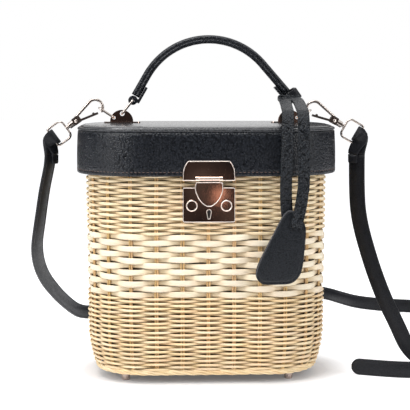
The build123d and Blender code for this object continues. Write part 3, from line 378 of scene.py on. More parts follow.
def sweep_section(name, centres, ups, section, material, body):
    """A section of (across, up) points swept along centres; ups gives each section's second direction."""
    ways = unit(np.gradient(centres, axis=0))
    ups = unit(ups - ways * (ups * ways).sum(1)[:, None])
    across = np.cross(ups, ways)
    section = np.asarray(section, float)
    if section.ndim == 2:
        section = np.repeat(section[None], len(centres), axis=0)
    sideways = across[:, None, :] * section[:, :, :1]
    points = centres[:, None, :] + sideways + ups[:, None, :] * section[:, :, 1:]
    faces = tube_faces(len(centres), section.shape[1], False, caps=True)
    return add_mesh(name, points.reshape(-1, 3), faces, material, body)


def spline_path(points):
    """Points in metres along the smooth curve that the route's points pull."""
    curve = bpy.data.curves.new("route", "CURVE")
    curve.dimensions = "3D"
    spline = curve.splines.new("NURBS")
    spline.points.add(len(points) - 1)
    for point, place in zip(spline.points, points):
        point.co = (place[0] * MM, place[1] * MM, place[2] * MM, 1.0)
    spline.order_u = 3
    spline.use_endpoint_u = True
    spline.resolution_u = 10
    carrier = bpy.data.objects.new("route", curve)
    scene.collection.objects.link(carrier)
    bpy.context.view_layer.update()
    mesh = bpy.data.meshes.new_from_object(carrier.evaluated_get(bpy.context.evaluated_depsgraph_get()))
    places = np.array([tuple(v.co) for v in mesh.vertices])
    bpy.data.objects.remove(carrier)
    bpy.data.curves.remove(curve)
    bpy.data.meshes.remove(mesh)
    least_step = 1e-5
    keep = [0]
    for i in range(1, len(places)):
        if np.linalg.norm(places[i] - places[keep[-1]]) > least_step:
            keep.append(i)
    return places[keep]


def paint(piece, colours):
    """Gives each point of a mesh its tint, with the woven rows' painted shade in it, which the reed materials
    multiply.
    """
    attribute = piece.data.color_attributes.new("tint_and_shade", "FLOAT_COLOR", "POINT")
    data = np.ones((len(colours), 4))
    data[:, :3] = np.clip(colours, 0, 1)
    attribute.data.foreach_set("color", data.ravel())


# Basket wall: its middle line, its lean and the reeds' colours
WALL_X = BASKET_WIDTH / 2 - WALL_REACH
WALL_Y = BASKET_DEPTH / 2 - WALL_REACH
WALL_R = BASKET_RADIUS - WALL_REACH
WALL_ROUND = perimeter(WALL_X, WALL_Y, WALL_R)
PITCH = WALL_ROUND / STAKES

STRAW = np.array((0.94, 0.75, 0.45))
PALE = np.array((0.99, 0.89, 0.66))
CREAM = np.array((0.98, 0.89, 0.71))
ORANGE = np.array((0.86, 0.58, 0.33))
PINK = np.array((0.92, 0.68, 0.54))


def wall_inset(z):
    """How far the wall stands in at a height: a slight taper, and a curve at the foot."""
    slope = WALL_TAPER * (BASKET_TOP - z) / (BASKET_TOP - BASKET_FOOT)
    rise = np.maximum(0.0, 1 - (z - BASKET_FOOT) / FOOT_CURVE_HEIGHT)
    return slope + FOOT_CURVE * rise ** FOOT_CURVE_POWER


def wobble(ways, strength, low=3, high=11, terms=4):
    """A smooth random wave that closes round the basket."""
    total = np.zeros_like(ways)
    for _ in range(terms):
        k = rng.integers(low, high)
        total += np.sin(2 * np.pi * k * ways / WALL_ROUND + rng.uniform(0, 6.3)) / terms
    return strength * total


def stake_jitter(ways, strength):
    """A random shift at each stake, eased between them."""
    values = rng.uniform(-1, 1, STAKES)
    place = np.mod(ways / PITCH, STAKES)
    low = np.floor(place).astype(int) % STAKES
    part = place - np.floor(place)
    part = part * part * (3 - 2 * part)
    return strength * (values[low] * (1 - part) + values[(low + 1) % STAKES] * part)


def row_tint(ways, main, others, mixing):
    """A reed's colour along its way: the main one, drifting towards the others by their strengths."""
    base = np.tile(main, (len(ways), 1))
    for colour, strength in others:
        share = np.clip(0.5 + wobble(ways, 1.4, 2, 17, 5), 0, 1) * strength * rng.uniform(0.3, 1.0)
        base = base * (1 - share[:, None]) + colour * share[:, None]
    return base * (1 + mixing * rng.uniform(-1, 1))


def round_wall(ways, out, up):
    """Rings of points round the wall's middle line, given their distance out of it and their height."""
    x, y, nx, ny = outline(WALL_X, WALL_Y, WALL_R, ways, 0.0)
    return np.stack([x[:, None] + nx[:, None] * out, y[:, None] + ny[:, None] * out, up], axis=2)


class Rods:
    """Many reeds in one mesh, each with its own tint; on the woven rows it holds painted shade."""

    def __init__(self):
        self.points = []
        self.faces = []
        self.tints = []
        self.total = 0

    def add(self, rings, tints, closed):
        """One reed: rings of points along it and a tint for each ring."""
        count, around = rings.shape[:2]
        self.faces += tube_faces(count, around, closed, self.total, not closed)
        self.points.append(rings.reshape(-1, 3))
        self.tints.append(np.repeat(tints, around, axis=0))
        self.total += count * around

    def build(self, name, node, material):
        piece = add_mesh(name, np.concatenate(self.points), self.faces, material, "basket")
        paint(piece, np.concatenate(self.tints))
        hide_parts(node)


# The three zones of the weave, from the foot up. The half sizes are those of one reed, swing is how far
# it stands in front of and behind the stakes, and a shade value gives the painted shade that is left where a
# reed goes behind them.
FINE = {"half_thick": 0.85, "swing": 1.9, "steps": 12, "flat": 0.0, "material": REED, "slot": "reed"}
ZONES = {
    "weave_lower": {
        **FINE, "low": 11.2, "high": FLAT_LOW, "rows": 31, "half_height": 0.95, "behind_shade": 0.52, "main": STRAW,
        "others": [(PALE, 0.8), (ORANGE, 0.45), (PINK, 0.35)]},
    "weave_middle": {
        "half_thick": 0.6, "swing": 1.95, "steps": 16, "flat": 0.35, "material": FLAT_REED,
        "slot": "reed_pale", "low": FLAT_LOW, "high": FLAT_HIGH, "rows": 11, "half_height": 2.26,
        "behind_shade": 0.84, "main": CREAM, "others": [(PALE, 0.5), (PINK, 0.25), (ORANGE, 0.2)]},
    "weave_upper": {
        **FINE, "low": FLAT_HIGH, "high": 170.4, "rows": 21, "half_height": 1.12, "behind_shade": 0.58,
        "main": 0.5 * (STRAW + PALE), "others": [(PALE, 0.9), (ORANGE, 0.3), (PINK, 0.25)]},
}


def sharpen(wave, power):
    return np.sign(wave) * np.abs(wave) ** power


def weave(node, zone, rows_below):
    """Rows of reed that pass in front of every second pair of stakes, each out of step with the last."""
    around = 8
    swing = zone["swing"]
    flat = zone["flat"]
    behind_shade = zone["behind_shade"]
    ways = np.arange(STAKES * zone["steps"]) * PITCH / zone["steps"]
    pitch = (zone["high"] - zone["low"]) / zone["rows"]
    angles = np.arange(around) * 2 * np.pi / around + np.pi / around
    ring_out = sharpen(np.cos(angles), 1 - flat)
    ring_up = sharpen(np.sin(angles), 1 - 0.5 * flat)
    to_front = np.cos(np.pi * ways / PITCH)
    shaped = sharpen(to_front, 0.85)
    wave_top = 24.0
    wave_height = 14.0
    wave_depth = 0.7
    bulge = 0.10
    rods = Rods()
    for row in range(zone["rows"]):
        sign = 1 if (row + rows_below) % 2 == 0 else -1
        depth = sign * swing * rng.uniform(0.93, 1.07) * shaped
        depth = depth + wobble(ways, 0.18)
        z = zone["low"] + (row + 0.5) * pitch + wobble(ways, 0.28 * pitch ** 0.5)
        z = z + stake_jitter(ways, 0.12 * pitch ** 0.5)
        foot_wave = np.clip((wave_top - z) / wave_height, 0, 1)
        z = z + foot_wave * wave_depth * sign * to_front
        width = zone["half_height"] * (1 + 0.10 * wobble(ways, 1.0, 5, 40, 4)) * (1 + bulge * sign * to_front)
        out = (depth - wall_inset(z) + REED_OUT)[:, None] + zone["half_thick"] * ring_out
        up = z[:, None] + width[:, None] * ring_up - flat * 0.5 * ring_out
        # Painted shade: a reed is darkened, and warmed, where it passes behind the stakes.
        in_front = np.clip(0.55 + 0.62 * depth / swing, 0.0, 1.0)
        shade = behind_shade + (1 - behind_shade) * in_front ** 0.8
        painted_shade = np.stack([shade, shade * (0.93 + 0.07 * in_front), shade * (0.80 + 0.20 * in_front)], axis=1)
        tints = row_tint(ways, zone["main"], zone["others"], 0.07) * painted_shade
        rods.add(round_wall(ways, out, up), tints, True)
    rods.build(f"{node}_reeds", node, zone["material"])


def build_stakes():
    """Two thin rods at each stake, leaning a little."""
    around = 8
    radius = 0.72
    half_gap = 0.85
    curved_to = 46.0
    levels = np.concatenate([np.arange(8.0, curved_to, 3.0), np.linspace(curved_to, 171.5, 42)])
    angles = np.arange(around) * 2 * np.pi / around
    rods = Rods()
    for stake in range(STAKES):
        for side in (-1, 1):
            way = np.array([stake * PITCH + side * half_gap])
            x, y, nx, ny = outline(WALL_X, WALL_Y, WALL_R, way, 0.0)
            lean = rng.uniform(-0.25, 0.25) + 0.3 * np.sin(levels / 11 + rng.uniform(0, 6))
            along = radius * np.cos(angles) + 0.5 * lean[:, None]
            out = radius * np.sin(angles) - (wall_inset(levels) - REED_OUT)[:, None]
            up = np.repeat(levels[:, None], around, axis=1)
            rings = np.stack([x + nx * out - ny * along, y + ny * out + nx * along, up], axis=2)
            tone = 0.82 * STRAW * (1.0, 0.88, 0.74) * rng.uniform(0.85, 1.05)
            tone = tone * (1, rng.uniform(0.93, 1.02), rng.uniform(0.85, 1.0))
            rods.add(rings, np.tile(tone, (len(levels), 1)), False)
    rods.build("stake_rods", "stakes", REED)


def build_border():
    """Reeds twined round each other along the foot of the basket."""
    around = 10
    steps = 14
    strands = 4
    middle_z = 9.6
    ways = np.arange(STAKES * steps) * PITCH / steps
    angles = np.arange(around) * 2 * np.pi / around
    rods = Rods()
    for strand in range(strands):
        turn = np.pi * ways / PITCH + strand * 2 * np.pi / strands
        z = middle_z + 1.5 * np.cos(turn) + wobble(ways, 0.25)
        out_at = 1.0 * np.sin(turn) + 0.9
        thick = 1.15 * (1 + wobble(ways, 0.08))
        out = (out_at - wall_inset(z))[:, None] + thick[:, None] * np.cos(angles)
        up = z[:, None] + thick[:, None] * np.sin(angles)
        tints = row_tint(ways, STRAW, [(ORANGE, 0.6), (PALE, 0.6)], 0.06)
        rods.add(round_wall(ways, out, up), tints, True)
    rods.build("border_reeds", "foot_border", REED)


def build_gap_shade():
    """The lining's dark cloth set close behind the reeds as painted shade, which closes the gaps between
    them.
    """
    outer = 2.5
    inner = 3.4
    levels = [11.0, 16.0, 22.0, 30.0, 42.0, 80.0, 125.0, 170.5]
    profile = [(outer, z) for z in levels] + [(inner, z) for z in reversed(levels)] + [(outer, levels[0])]
    leaning = [(inset + wall_inset(z), z) for inset, z in profile]
    points, faces = skin_rings(WALL_X, WALL_Y, WALL_R, leaning, 240)
    piece = add_mesh("lining_gap_shade", points, faces, LINING, "basket")


rows_below = 0
for node, zone in ZONES.items():
    weave(node, zone, rows_below)
    rows_below += zone["rows"]
build_stakes()
build_border()
build_gap_shade()


# Lid leather
LID_ROUND = perimeter(LID_HALF_X, LID_HALF_Y, LID_RADIUS)


def lid_skin(name, node, profile, material, capped=False):
    """A skin through rings of the lid's outline, given as (inset, height)."""
    count = 320
    points, faces = skin_rings(LID_HALF_X, LID_HALF_Y, LID_RADIUS, profile, count)
    if capped:
        faces.append(tuple((len(profile) - 1) * count + j for j in range(count)))
    piece = add_mesh(name, points, faces, material, "lid")
    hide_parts(node)


def polar(angle):
    """The direction at an angle in degrees."""
    return np.array((math.cos(math.radians(angle)), math.sin(math.radians(angle))))


# The band goes down inside, round the turned lower edge and up outside, past the groove of the stitches.
lid_skin("lid_band_leather", "lid_band", [
    (3.15, 204.0), (3.15, 172.0), (3.0, 170.6), (2.4, 169.7), (1.6, 169.45), (0.8, 169.6), (0.2, 170.2),
    (0.02, 171.0), (0.0, 172.4), (0.10, 172.7), (0.10, 173.0), (0.0, 173.3), (0.0, 176.0), (0.0, 180.0),
    (0.06, 185.0), (0.18, 190.0), (0.36, 195.0), (0.60, 200.0), (0.85, 203.6), (1.6, 204.3), (3.15, 204.0),
], BLACK)
# The bead wears a lighter leather than the band, a painted highlight along its top.
bead_middle = np.array((1.75, 205.6))
bead_radius = 1.15
bead = [tuple(bead_middle + bead_radius * polar(angle)) for angle in np.linspace(240, 10, 15)]
lid_skin("lid_piping_leather", "lid_piping",
         [(2.7, 203.9), (1.8, 203.9), *bead, (2.95, 204.9), (2.7, 203.9)], BEAD_HIGHLIGHT_BLACK)
# The top panel's leather is painted lighter than the band's, a painted highlight for the light it reflects.
lid_skin("lid_panel_leather", "lid_panel", [
    (3.0, 203.9), (3.0, 206.2), (3.1, 207.1), (3.5, 207.7), (4.6, 208.1), (8.0, 208.5), (14.0, 208.9),
    (22.0, 209.2), (30.0, 209.4), (38.0, 209.5), (46.0, 209.5), (54.5, 209.5),
], TOP_LIT_BLACK, capped=True)


def lid_stitches():
    """Short stitches in the groove along the band's lower edge."""
    around = 6
    spacing = 3.3
    length = 2.1
    thick = 0.17
    height = 172.85
    shape = ((-1.0, 0.35, -0.12), (-0.6, 0.9, 0.05), (0.0, 1.0, 0.12), (0.6, 0.9, 0.05), (1.0, 0.35, -0.12))
    count = int(LID_ROUND / spacing)
    ways = (np.arange(count) + 0.5) * LID_ROUND / count
    points = []
    faces = []
    for x, y, nx, ny in zip(*outline(LID_HALF_X, LID_HALF_Y, LID_RADIUS, ways, -0.02)):
        place = np.array((x, y, height))
        way = np.array((-ny, nx, 0.0))
        out = np.array((nx, ny, 0.0))
        cross = np.cross(way, out)
        faces.extend(tube_faces(len(shape), around, False, len(points), True))
        for along, size, lift in shape:
            middle = place + way * along * length / 2 + out * lift
            points.extend(ring(middle, out * thick * size, cross * thick * size, around))
    add_mesh("lid_stitches", points, faces, WARM_THREAD, "lid")


lid_stitches()


# Softened copies of the plain leather solids
def soften(name, node, body, material, steps, voxel=0.45):
    """A rounded leather piece in the space of a CAD solid."""
    mesh = frame["nodes"][node].data.copy()
    mesh.materials.clear()
    mesh.materials.append(material)
    piece = bpy.data.objects.new(name, mesh)
    scene.collection.objects.link(piece)
    remesh = piece.modifiers.new("remesh", "REMESH")
    remesh.mode = "VOXEL"
    remesh.voxel_size = voxel * MM
    smooth = piece.modifiers.new("smooth", "SMOOTH")
    smooth.factor = 0.5
    smooth.iterations = steps
    shaped = bpy.data.meshes.new_from_object(piece.evaluated_get(bpy.context.evaluated_depsgraph_get()))
    piece.modifiers.clear()
    piece.data = shaped
    shaped.polygons.foreach_set("use_smooth", [True] * len(shaped.polygons))
    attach(piece, body)
    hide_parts(node)


for side, _ in SIDES:
    soften(f"handle_fold_{side}", f"handle_loop_{side}", "handle", BLACK, 4)
soften("fob_hitch_leather", "fob_hitch", "fob_band", SMOOTH_BLACK, 5)
soften("fob_strand_leather", "fob_strands", "fob", STRAND_BLACK, 3)
soften("buckle_fold_leather", "buckle_fold", "basket", SMOOTH_BLACK, 3)
soften("strap_keeper_leather", "strap_keeper", "basket", SMOOTH_BLACK, 3, voxel=0.4)


# Fob tag
STRAND_FRONT = 77.6
STRAND_THICKNESS = 2.2
TAG_FRONT = STRAND_FRONT - STRAND_THICKNESS - 0.1
TAG_LAYER = 1.5


def rounded(points, rounds):
    """Cuts the corners of a closed outline, again and again."""
    points = np.asarray(points, float)
    for _ in range(rounds):
        after = np.roll(points, -1, axis=0)
        points = np.stack([points * 0.75 + after * 0.25, points * 0.25 + after * 0.75], axis=1).reshape(-1, 2)
    return points


def tag_layer(name, node, front, profile, material):
    """A bell-shaped leather layer; profile gives (inset, depth behind the front face)."""
    corners = [
        (63.5, 144.0), (68.5, 142.0), (72.3, 138.5), (75.2, 132.5), (76.3, 126.5), (74.9, 110.0),
        (73.7, 97.0), (70.5, 89.5), (64.5, 84.7), (53.0, 84.4), (42.0, 84.2), (37.6, 88.5),
        (36.3, 93.0), (38.2, 101.0), (47.5, 119.0), (56.5, 136.8), (59.5, 141.8),
    ]
    shape = rounded(corners, 2)
    middle = shape.mean(0)
    ways = unit(np.roll(shape, -1, axis=0) - np.roll(shape, 1, axis=0))
    inward = np.stack([-ways[:, 1], ways[:, 0]], axis=1)
    if (inward * (middle - shape)).sum() < 0:
        inward = -inward
    rings = [(shape + inward * inset, depth) for inset, depth in profile]
    last_inset, last_depth = profile[-1]
    for share in (0.72, 0.42, 0.12):
        rings.append((middle + (shape + inward * last_inset - middle) * share, last_depth - 0.04))
    points = [(x, depth - front, z) for line, depth in rings for x, z in line]
    faces = tube_faces(len(rings), len(shape), False, caps=True)
    piece = add_mesh(name, points, faces, material, "fob")
    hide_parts(node)


tag_layer("fob_tag_front_leather", "fob_tag_front", TAG_FRONT, [
    (0.25, 1.4), (0.0, 1.2), (0.0, 0.35), (0.12, 0.12), (0.4, 0.0), (1.5, 0.0), (1.75, 0.16), (2.1, 0.16),
    (2.35, 0.0), (3.6, -0.05),
], TAG_BLACK)
tag_layer("fob_tag_back_leather", "fob_tag_back", TAG_FRONT - TAG_LAYER,
          [(0.3, 1.4), (0.02, 1.2), (0.02, 0.3), (0.3, 0.02), (2.0, 0.02)], SMOOTH_BLACK)


# Handle grip: a straight end on each side of an arc, with angles in degrees from +X
def grip_section():
    """A rolled strip sewn along a groove that faces forwards."""
    radius = 3.5
    groove_depth = 1.05
    groove_width = 0.30
    points = []
    for angle in np.arange(40) * 2 * math.pi / 40:
        from_front = min(angle, 2 * math.pi - angle)
        reach = radius - groove_depth * math.exp(-(from_front / groove_width) ** 2)
        points.append((-reach * math.cos(angle), reach * math.sin(angle)))
    return points


def build_grip():
    middle = np.array((2.6, 219.3))
    radius = 59.1
    left_knee = 150
    right_knee = 41
    left_end = 24.0
    right_end = 36.0
    ring_to_grip = 4.15
    left = middle + radius * polar(left_knee)
    right = middle + radius * polar(right_knee)
    left_way = polar(left_knee + 90) * (left_end - ring_to_grip)
    right_way = polar(right_knee - 90) * (right_end - ring_to_grip)
    route = [left + left_way * (1 - t) for t in np.linspace(0, 1, 12)]
    for t in np.linspace(0, 1, 60)[1:-1]:
        route.append(middle + radius * polar(left_knee + (right_knee - left_knee) * t))
    route += [right + right_way * t for t in np.linspace(0, 1, 16)]
    route = np.array([(x, 0.0, z) for x, z in route])
    ways = np.gradient(route, axis=0)
    ups = np.stack([-ways[:, 2], np.zeros(len(route)), ways[:, 0]], axis=1)
    grip = sweep_section("handle_grip_leather", route, ups, grip_section(), BLACK, "handle")
    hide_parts("handle_grip")


build_grip()


# Folded strap ends round the bars of the swivel loops
def bezier(a, b, c, d, shares):
    t = shares[:, None]
    return a * (1 - t) ** 3 + 3 * b * t * (1 - t) ** 2 + 3 * c * t * t * (1 - t) + d * t ** 3


def flat_section(width, thickness):
    """A flat strap's outline with rounded edges: (thickness way, width way)."""
    w = width / 2
    h = thickness / 2
    upper = [(-h, w - 0.8), (-0.87 * h, w - 0.3), (-0.5 * h, w)]
    upper += [(-x, z) for x, z in reversed(upper)]
    lower = [(-x, -z) for x, z in upper]
    return lower[-1:] + upper + lower[:-1]


def strap_fold(side, sign, hook_angle, foot_x, lie):
    """The strap's end: it goes up behind the bar, over it and down in front as a narrower flap.

    lie is the way of the strap's width at the foot.
    """
    fold_foot_z = 182.9
    hook_length = 24.0
    bend_radius = 2.5
    pull_at_bar = 5
    pull_at_foot = 6
    flap_gap = 2.68
    flap_shift = 2.6
    foot_width = 13.8
    bar_width = 13.2
    flap_width = 8.3
    sleeve_thickness = 2.9
    sleeve_rings = 4
    flap_thickness = 2.3
    y = np.array((0.0, 1.0, 0.0))
    up = np.array((0.0, 0.0, 1.0))
    lie = np.array(lie)
    face = np.cross(lie, up)
    along = np.array((-sign * math.cos(math.radians(hook_angle)), 0.0, math.sin(math.radians(hook_angle))))
    bar = np.cross(along, y)
    if bar @ lie < 0:
        bar = -bar
    middle = np.array((sign * HOOK_X, 0.0, HOOK_Z)) - hook_length * along
    behind = middle + bend_radius * y
    before = middle - bend_radius * y
    foot = np.array((foot_x, 0.0, fold_foot_z))
    flap_foot = foot + flap_gap * face - sign * flap_shift * lie
    shares = np.linspace(0, 1, 9)
    rise = bezier(foot, foot + pull_at_foot * up, behind - along * pull_at_bar, behind, shares)
    angles = np.linspace(0, math.pi, 11)[1:-1]
    turn = middle + bend_radius * (np.cos(angles)[:, None] * y + np.sin(angles)[:, None] * along)
    fall = bezier(before, before - along * pull_at_bar, flap_foot + pull_at_foot * up, flap_foot, shares)
    ease = shares * shares * (3 - 2 * shares)
    share = np.concatenate([ease, np.ones(len(turn)), 1 - ease])[:, None]
    lies = lie * (1 - share) + bar * share
    narrowing = (bar_width - flap_width) * shares
    rise_widths = foot_width - (foot_width - bar_width) * shares
    widths = [*rise_widths, *([bar_width] * len(turn)), *(bar_width - narrowing)]
    thicks = [sleeve_thickness] * sleeve_rings + [STRAP_THICKNESS] * (len(widths) - sleeve_rings)
    sections = [flat_section(*size) for size in zip(widths, thicks)]
    centres = np.concatenate([rise, turn, fall])
    piece = sweep_section(f"strap_fold_{side}", centres, lies, sections, SMOOTH_BLACK, "lid")
    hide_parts(f"strap_end_{side}")
    ends = np.array([flap_foot - drop * up for drop in (0.06, 3.0, 6.4, 7.6)])
    tip = [flat_section(flap_width - cut, flap_thickness) for cut in (0.0, 0.1, 0.3, 1.9)]
    flap = sweep_section(f"strap_flap_{side}", ends, np.tile(lie, (4, 1)), tip, SMOOTH_BLACK, "basket")


strap_fold("left", -1, 36, LEFT_STRAP_X, (0.520, 0.8542, 0.0))
strap_fold("right", 1, 30, RIGHT_STRAP_X, (0.8910, -0.4540, 0.0))


# Raised rims and rivets of the metalwork in a paler metal as painted highlight, and the tag's painted
# highlight edge, on faces that look forwards
def arc3(a, b, c, steps):
    """Points on the circle through three points, from the first to the last."""
    first, between, last = (complex(*point) for point in (a, b, c))
    shape = (last - first) / (between - first)
    centre = first + (between - first) * (shape - abs(shape) ** 2) / (2j * shape.imag)
    arm = first - centre
    turn = cmath.phase((last - centre) / arm) % (2 * math.pi)
    if cmath.phase((between - centre) / arm) < 0:
        turn -= 2 * math.pi
    places = [centre + arm * cmath.exp(1j * turn * k / steps) for k in range(steps + 1)]
    return [(place.real, place.imag) for place in places]


def mirrored(points):
    return points + [(-x, z) for x, z in reversed(points)]


def divide(points, step=1.2):
    """Adds points along the sides of a closed outline."""
    out = []
    for (x0, z0), (x1, z1) in zip(points, points[1:] + points[:1]):
        parts = max(1, int(math.hypot(x1 - x0, z1 - z0) / step))
        out += [(x0 + (x1 - x0) * k / parts, z0 + (z1 - z0) * k / parts) for k in range(parts)]
    return out


def rim(name, flat_points, front, thick, body):
    """A fine raised edge along a closed outline."""
    around = 8
    points = np.array([(x, -front, z) for x, z in flat_points])
    ways = unit(np.roll(points, -1, axis=0) - np.roll(points, 1, axis=0))
    out = np.array((0.0, -1.0, 0.0))
    rings = []
    for place, side in zip(points, np.cross(ways, out)):
        rings.extend(ring(place, side * thick, out * 0.8 * thick, around))
    add_mesh(name, rings, tube_faces(len(points), around, True), RIM_HIGHLIGHT, body)


def dome(name, place, way, radius, height, body):
    """A low round rivet head that stands on a face that looks along way, forwards or back."""
    around = 20
    levels = (0.0, 0.35, 0.7, 0.95)
    points = []
    for level in levels:
        reach = radius * math.sqrt(1 - level ** 2)
        middle = place + np.array((0.0, way * height * level, 0.0))
        points.extend(ring(middle, np.array((way * reach, 0.0, 0.0)), np.array((0.0, 0.0, reach)), around))
    faces = tube_faces(len(levels), around, False, caps=True)
    add_mesh(name, points, faces, RIM_HIGHLIGHT, body)


def tag_highlight():
    """A painted highlight along the tag's upper left edge, where it catches the light."""
    half_width = 0.34
    half_height = 0.24
    line = [(36.9, 92.0), (38.4, 100.6), (47.6, 118.6), (56.6, 136.3), (59.8, 141.3), (63.5, 143.6),
            (68.0, 141.7)]
    path = spline_path([(x, -TAG_FRONT - 0.05, z) for x, z in line]) / MM
    ups = np.tile((0.0, -1.0, 0.0), (len(path), 1))
    section = ring(np.zeros(2), np.array((half_width, 0.0)), np.array((0.0, half_height)), 8)
    sweep_section("fob_tag_highlight", path, ups, section, TAG_EDGE_HIGHLIGHT, "fob")


def lock_rims():
    edge = 0.33
    plate_side = [(20.3, 166.6), (20.1, 172.4)] + arc3((20.1, 172.4), (18.9, 177.5), (16.2, 181.7), 8)[1:]
    rim("plate_rim", divide(mirrored(plate_side)), LOCK_FRONT, edge, "lid")
    case_side = [(19.3, 133.8), (20.0, 134.1), (20.3, 134.8), (20.3, 159.7), (20.0, 160.4), (19.3, 160.7)]
    rim("case_rim", divide(mirrored(case_side)), LOCK_FRONT - 0.12, edge, "basket")
    shield_side = arc3((10.0, 165.3), (10.7, 160.5), (9.35, 155.3), 6)
    shield_side += arc3((9.35, 155.3), (5.9, 149.7), (0.0, 145.95), 8)[1:-1]
    rim("shield_rim", divide(mirrored(shield_side)), SHIELD_FRONT, edge, "hasp")


def knob_rims():
    knob_x = 13.6
    knob_z = 147.0
    radius = 4.05
    for side, sign in SIDES:
        middle = np.array((sign * knob_x, knob_z))
        knob = ring(middle, np.array((radius, 0.0)), np.array((0.0, radius)), 32)
        rim(f"knob_rim_{side}", knob, SHIELD_FRONT + 0.2, 0.42, f"bolt_{side}")


def keyhole():
    """The keyhole's raised edge in the paler rim metal, a painted highlight, and painted shade at its bottom.
    """
    half = arc3((0.0, 143.75), (1.55, 142.9), (1.75, 141.2), 5) + [(0.75, 136.3)]
    shape = divide(mirrored(half), 0.8)
    rim("keyhole_rim", shape, LOCK_FRONT + 0.4, 0.24, "basket")
    points = [(x, -front, z) for front in (LOCK_FRONT - 1.0, LOCK_FRONT - 0.1) for x, z in shape]
    faces = tube_faces(2, len(shape), False, caps=True)
    add_mesh("keyhole_shade", points, faces, KEYHOLE_SHADE, "basket", smooth=False)


lock_rims()
keyhole()
knob_rims()
for side, sign in SIDES:
    for facing, way in (("front", -1), ("back", 1)):
        place = np.array((sign * HOOK_X, way * 1.68, HOOK_Z))
        dome(f"hook_rivet_{side}_{facing}", place, way, 1.7, 0.8, f"hook_{side}")
tag_highlight()


# Shoulder strap
def strap_section():
    """The strap's outline as (thickness way, width way), with a pressed line along each edge."""
    w = STRAP_WIDTH / 2
    h = STRAP_THICKNESS / 2
    line = h - 0.18
    lower = [(-w, -0.75), (0.3 - w, -1.15), (0.85 - w, -h), (1.55 - w, -h), (1.8 - w, -line), (2.05 - w, -h)]
    lower += [(-x, z) for x, z in reversed(lower)]
    return np.array([(-z, x) for x, z in lower] + [(z, x) for x, z in reversed(lower)])


def resample(rows, run, stations):
    return np.stack([np.interp(stations, run, column) for column in rows.T], axis=1)


def strap(name, path, lies, round_tip=False):
    """A flat strap along a path in metres; lies gives the direction of its width at each point."""
    centres = path / MM
    if round_tip:
        run = run_of(centres)
        tip = run[-1] - np.array((6.7, 6.2, 5.4, 4.4, 3.4, 2.5, 1.7, 1.0, 0.5, 0.15, 0.0))
        stations = np.concatenate([run[run < run[-1] - 7.0], tip])
        centres = resample(centres, run, stations)
        lies = resample(lies, run, stations)
    sections = np.repeat(strap_section()[None], len(centres), axis=0)
    if round_tip:
        tip_radius = STRAP_WIDTH / 2
        tip_length = 6.5
        run = run_of(centres)
        left = run[-1] - run
        scale = np.sqrt(np.clip(1 - ((tip_length - left) / tip_radius) ** 2, 0.02, 1))
        sections[:, :, 1] *= np.where(left < tip_length, scale, 1.0)[:, None]
    return sweep_section(name, centres, lies, sections, SMOOTH_BLACK, "basket")


def length_of(path):
    return float(run_of(path)[-1])


def blend_lies(path, first, last, low, high):
    """Turns the width's direction from first to last between two shares of the path's length."""
    run = run_of(path)
    share = np.clip((run / run[-1] - low) / (high - low), 0, 1)[:, None]
    return np.array(first)[None] * (1 - share) + np.array(last)[None] * share


# The right side falls in one upright plane that is turned a little forwards; the buckle stands in it.
FALL_TURN = math.radians(-27.0)
FALL_WAY = np.array((math.cos(FALL_TURN), math.sin(FALL_TURN)))
FALL_FRONT = np.array((math.sin(FALL_TURN), -math.cos(FALL_TURN)))
BUCKLE_REACH = 102.0


def buckle_point(along, front, height):
    """A place given from the buckle's middle, along the fall and in front of it."""
    place = np.array((RIGHT_STRAP_X, 0.0)) + FALL_WAY * (BUCKLE_REACH + along) + FALL_FRONT * front
    return (place[0], place[1], height)


left_route = [
    (LEFT_STRAP_X, 0, STRAP_TOP), (-130.0, 0.2, 176.0), (-132.3, 2.6, 166.0), (-135.6, 6, 151.7),
    (-140.4, 16, 124.9), (-146.4, 40, 97.0), (-145.0, 82, 69.2), (-135.8, 130, 43.8), (-127.6, 172, 25.6),
    (-119.6, 203, 12.8), (-107.5, 226.5, 7.4), (-92.0, 244, 7.0),
]
floor_route = [
    (-91.7, 244.3, FLOOR), (-70.5, 262, FLOOR), (-43, 278, FLOOR), (0, 300, FLOOR), (50, 322, FLOOR),
    (95, 340, FLOOR), (128, 348, FLOOR), (147, 337, FLOOR), (160, 305, FLOOR), (172, 279, FLOOR),
    (198, 260, FLOOR), (227, 252, FLOOR), (262, 240, FLOOR), (292, 212, FLOOR), (310, 170, FLOOR),
    (316, 122, FLOOR), (312, 74, FLOOR), (303, 32, FLOOR), (293.5, 0, FLOOR), (286.5, -25.5, FLOOR),
    (278.1, -49.3, FLOOR + 0.5), (267.1, -58.2, FLOOR + 1.1), (252.9, -59.7, FLOOR + 1.7),
    buckle_point(13.5, -2.7, BUCKLE_Z), buckle_point(6.5, 4.6, BUCKLE_Z), buckle_point(-3.0, 5.9, BUCKLE_Z),
    buckle_point(-24.0, 6.5, BUCKLE_Z - 0.2), (171, -43, FLOOR + 0.4), (146, -35, FLOOR), (121.3, -24, FLOOR),
]
right_plan = [
    (0, STRAP_TOP), (0, 150.0), (3.0, 125.0), (12.5, 94.5), (19.9, 75.0), (27.2, 58.4), (37.1, 40.2),
    (46.2, 21.2), (60.0, BUCKLE_Z + 2.4), (76.0, BUCKLE_Z + 0.15), (BUCKLE_REACH - 8.95, BUCKLE_Z),
]
right_route = [(RIGHT_STRAP_X + FALL_WAY[0] * s, FALL_WAY[1] * s, z) for s, z in right_plan]

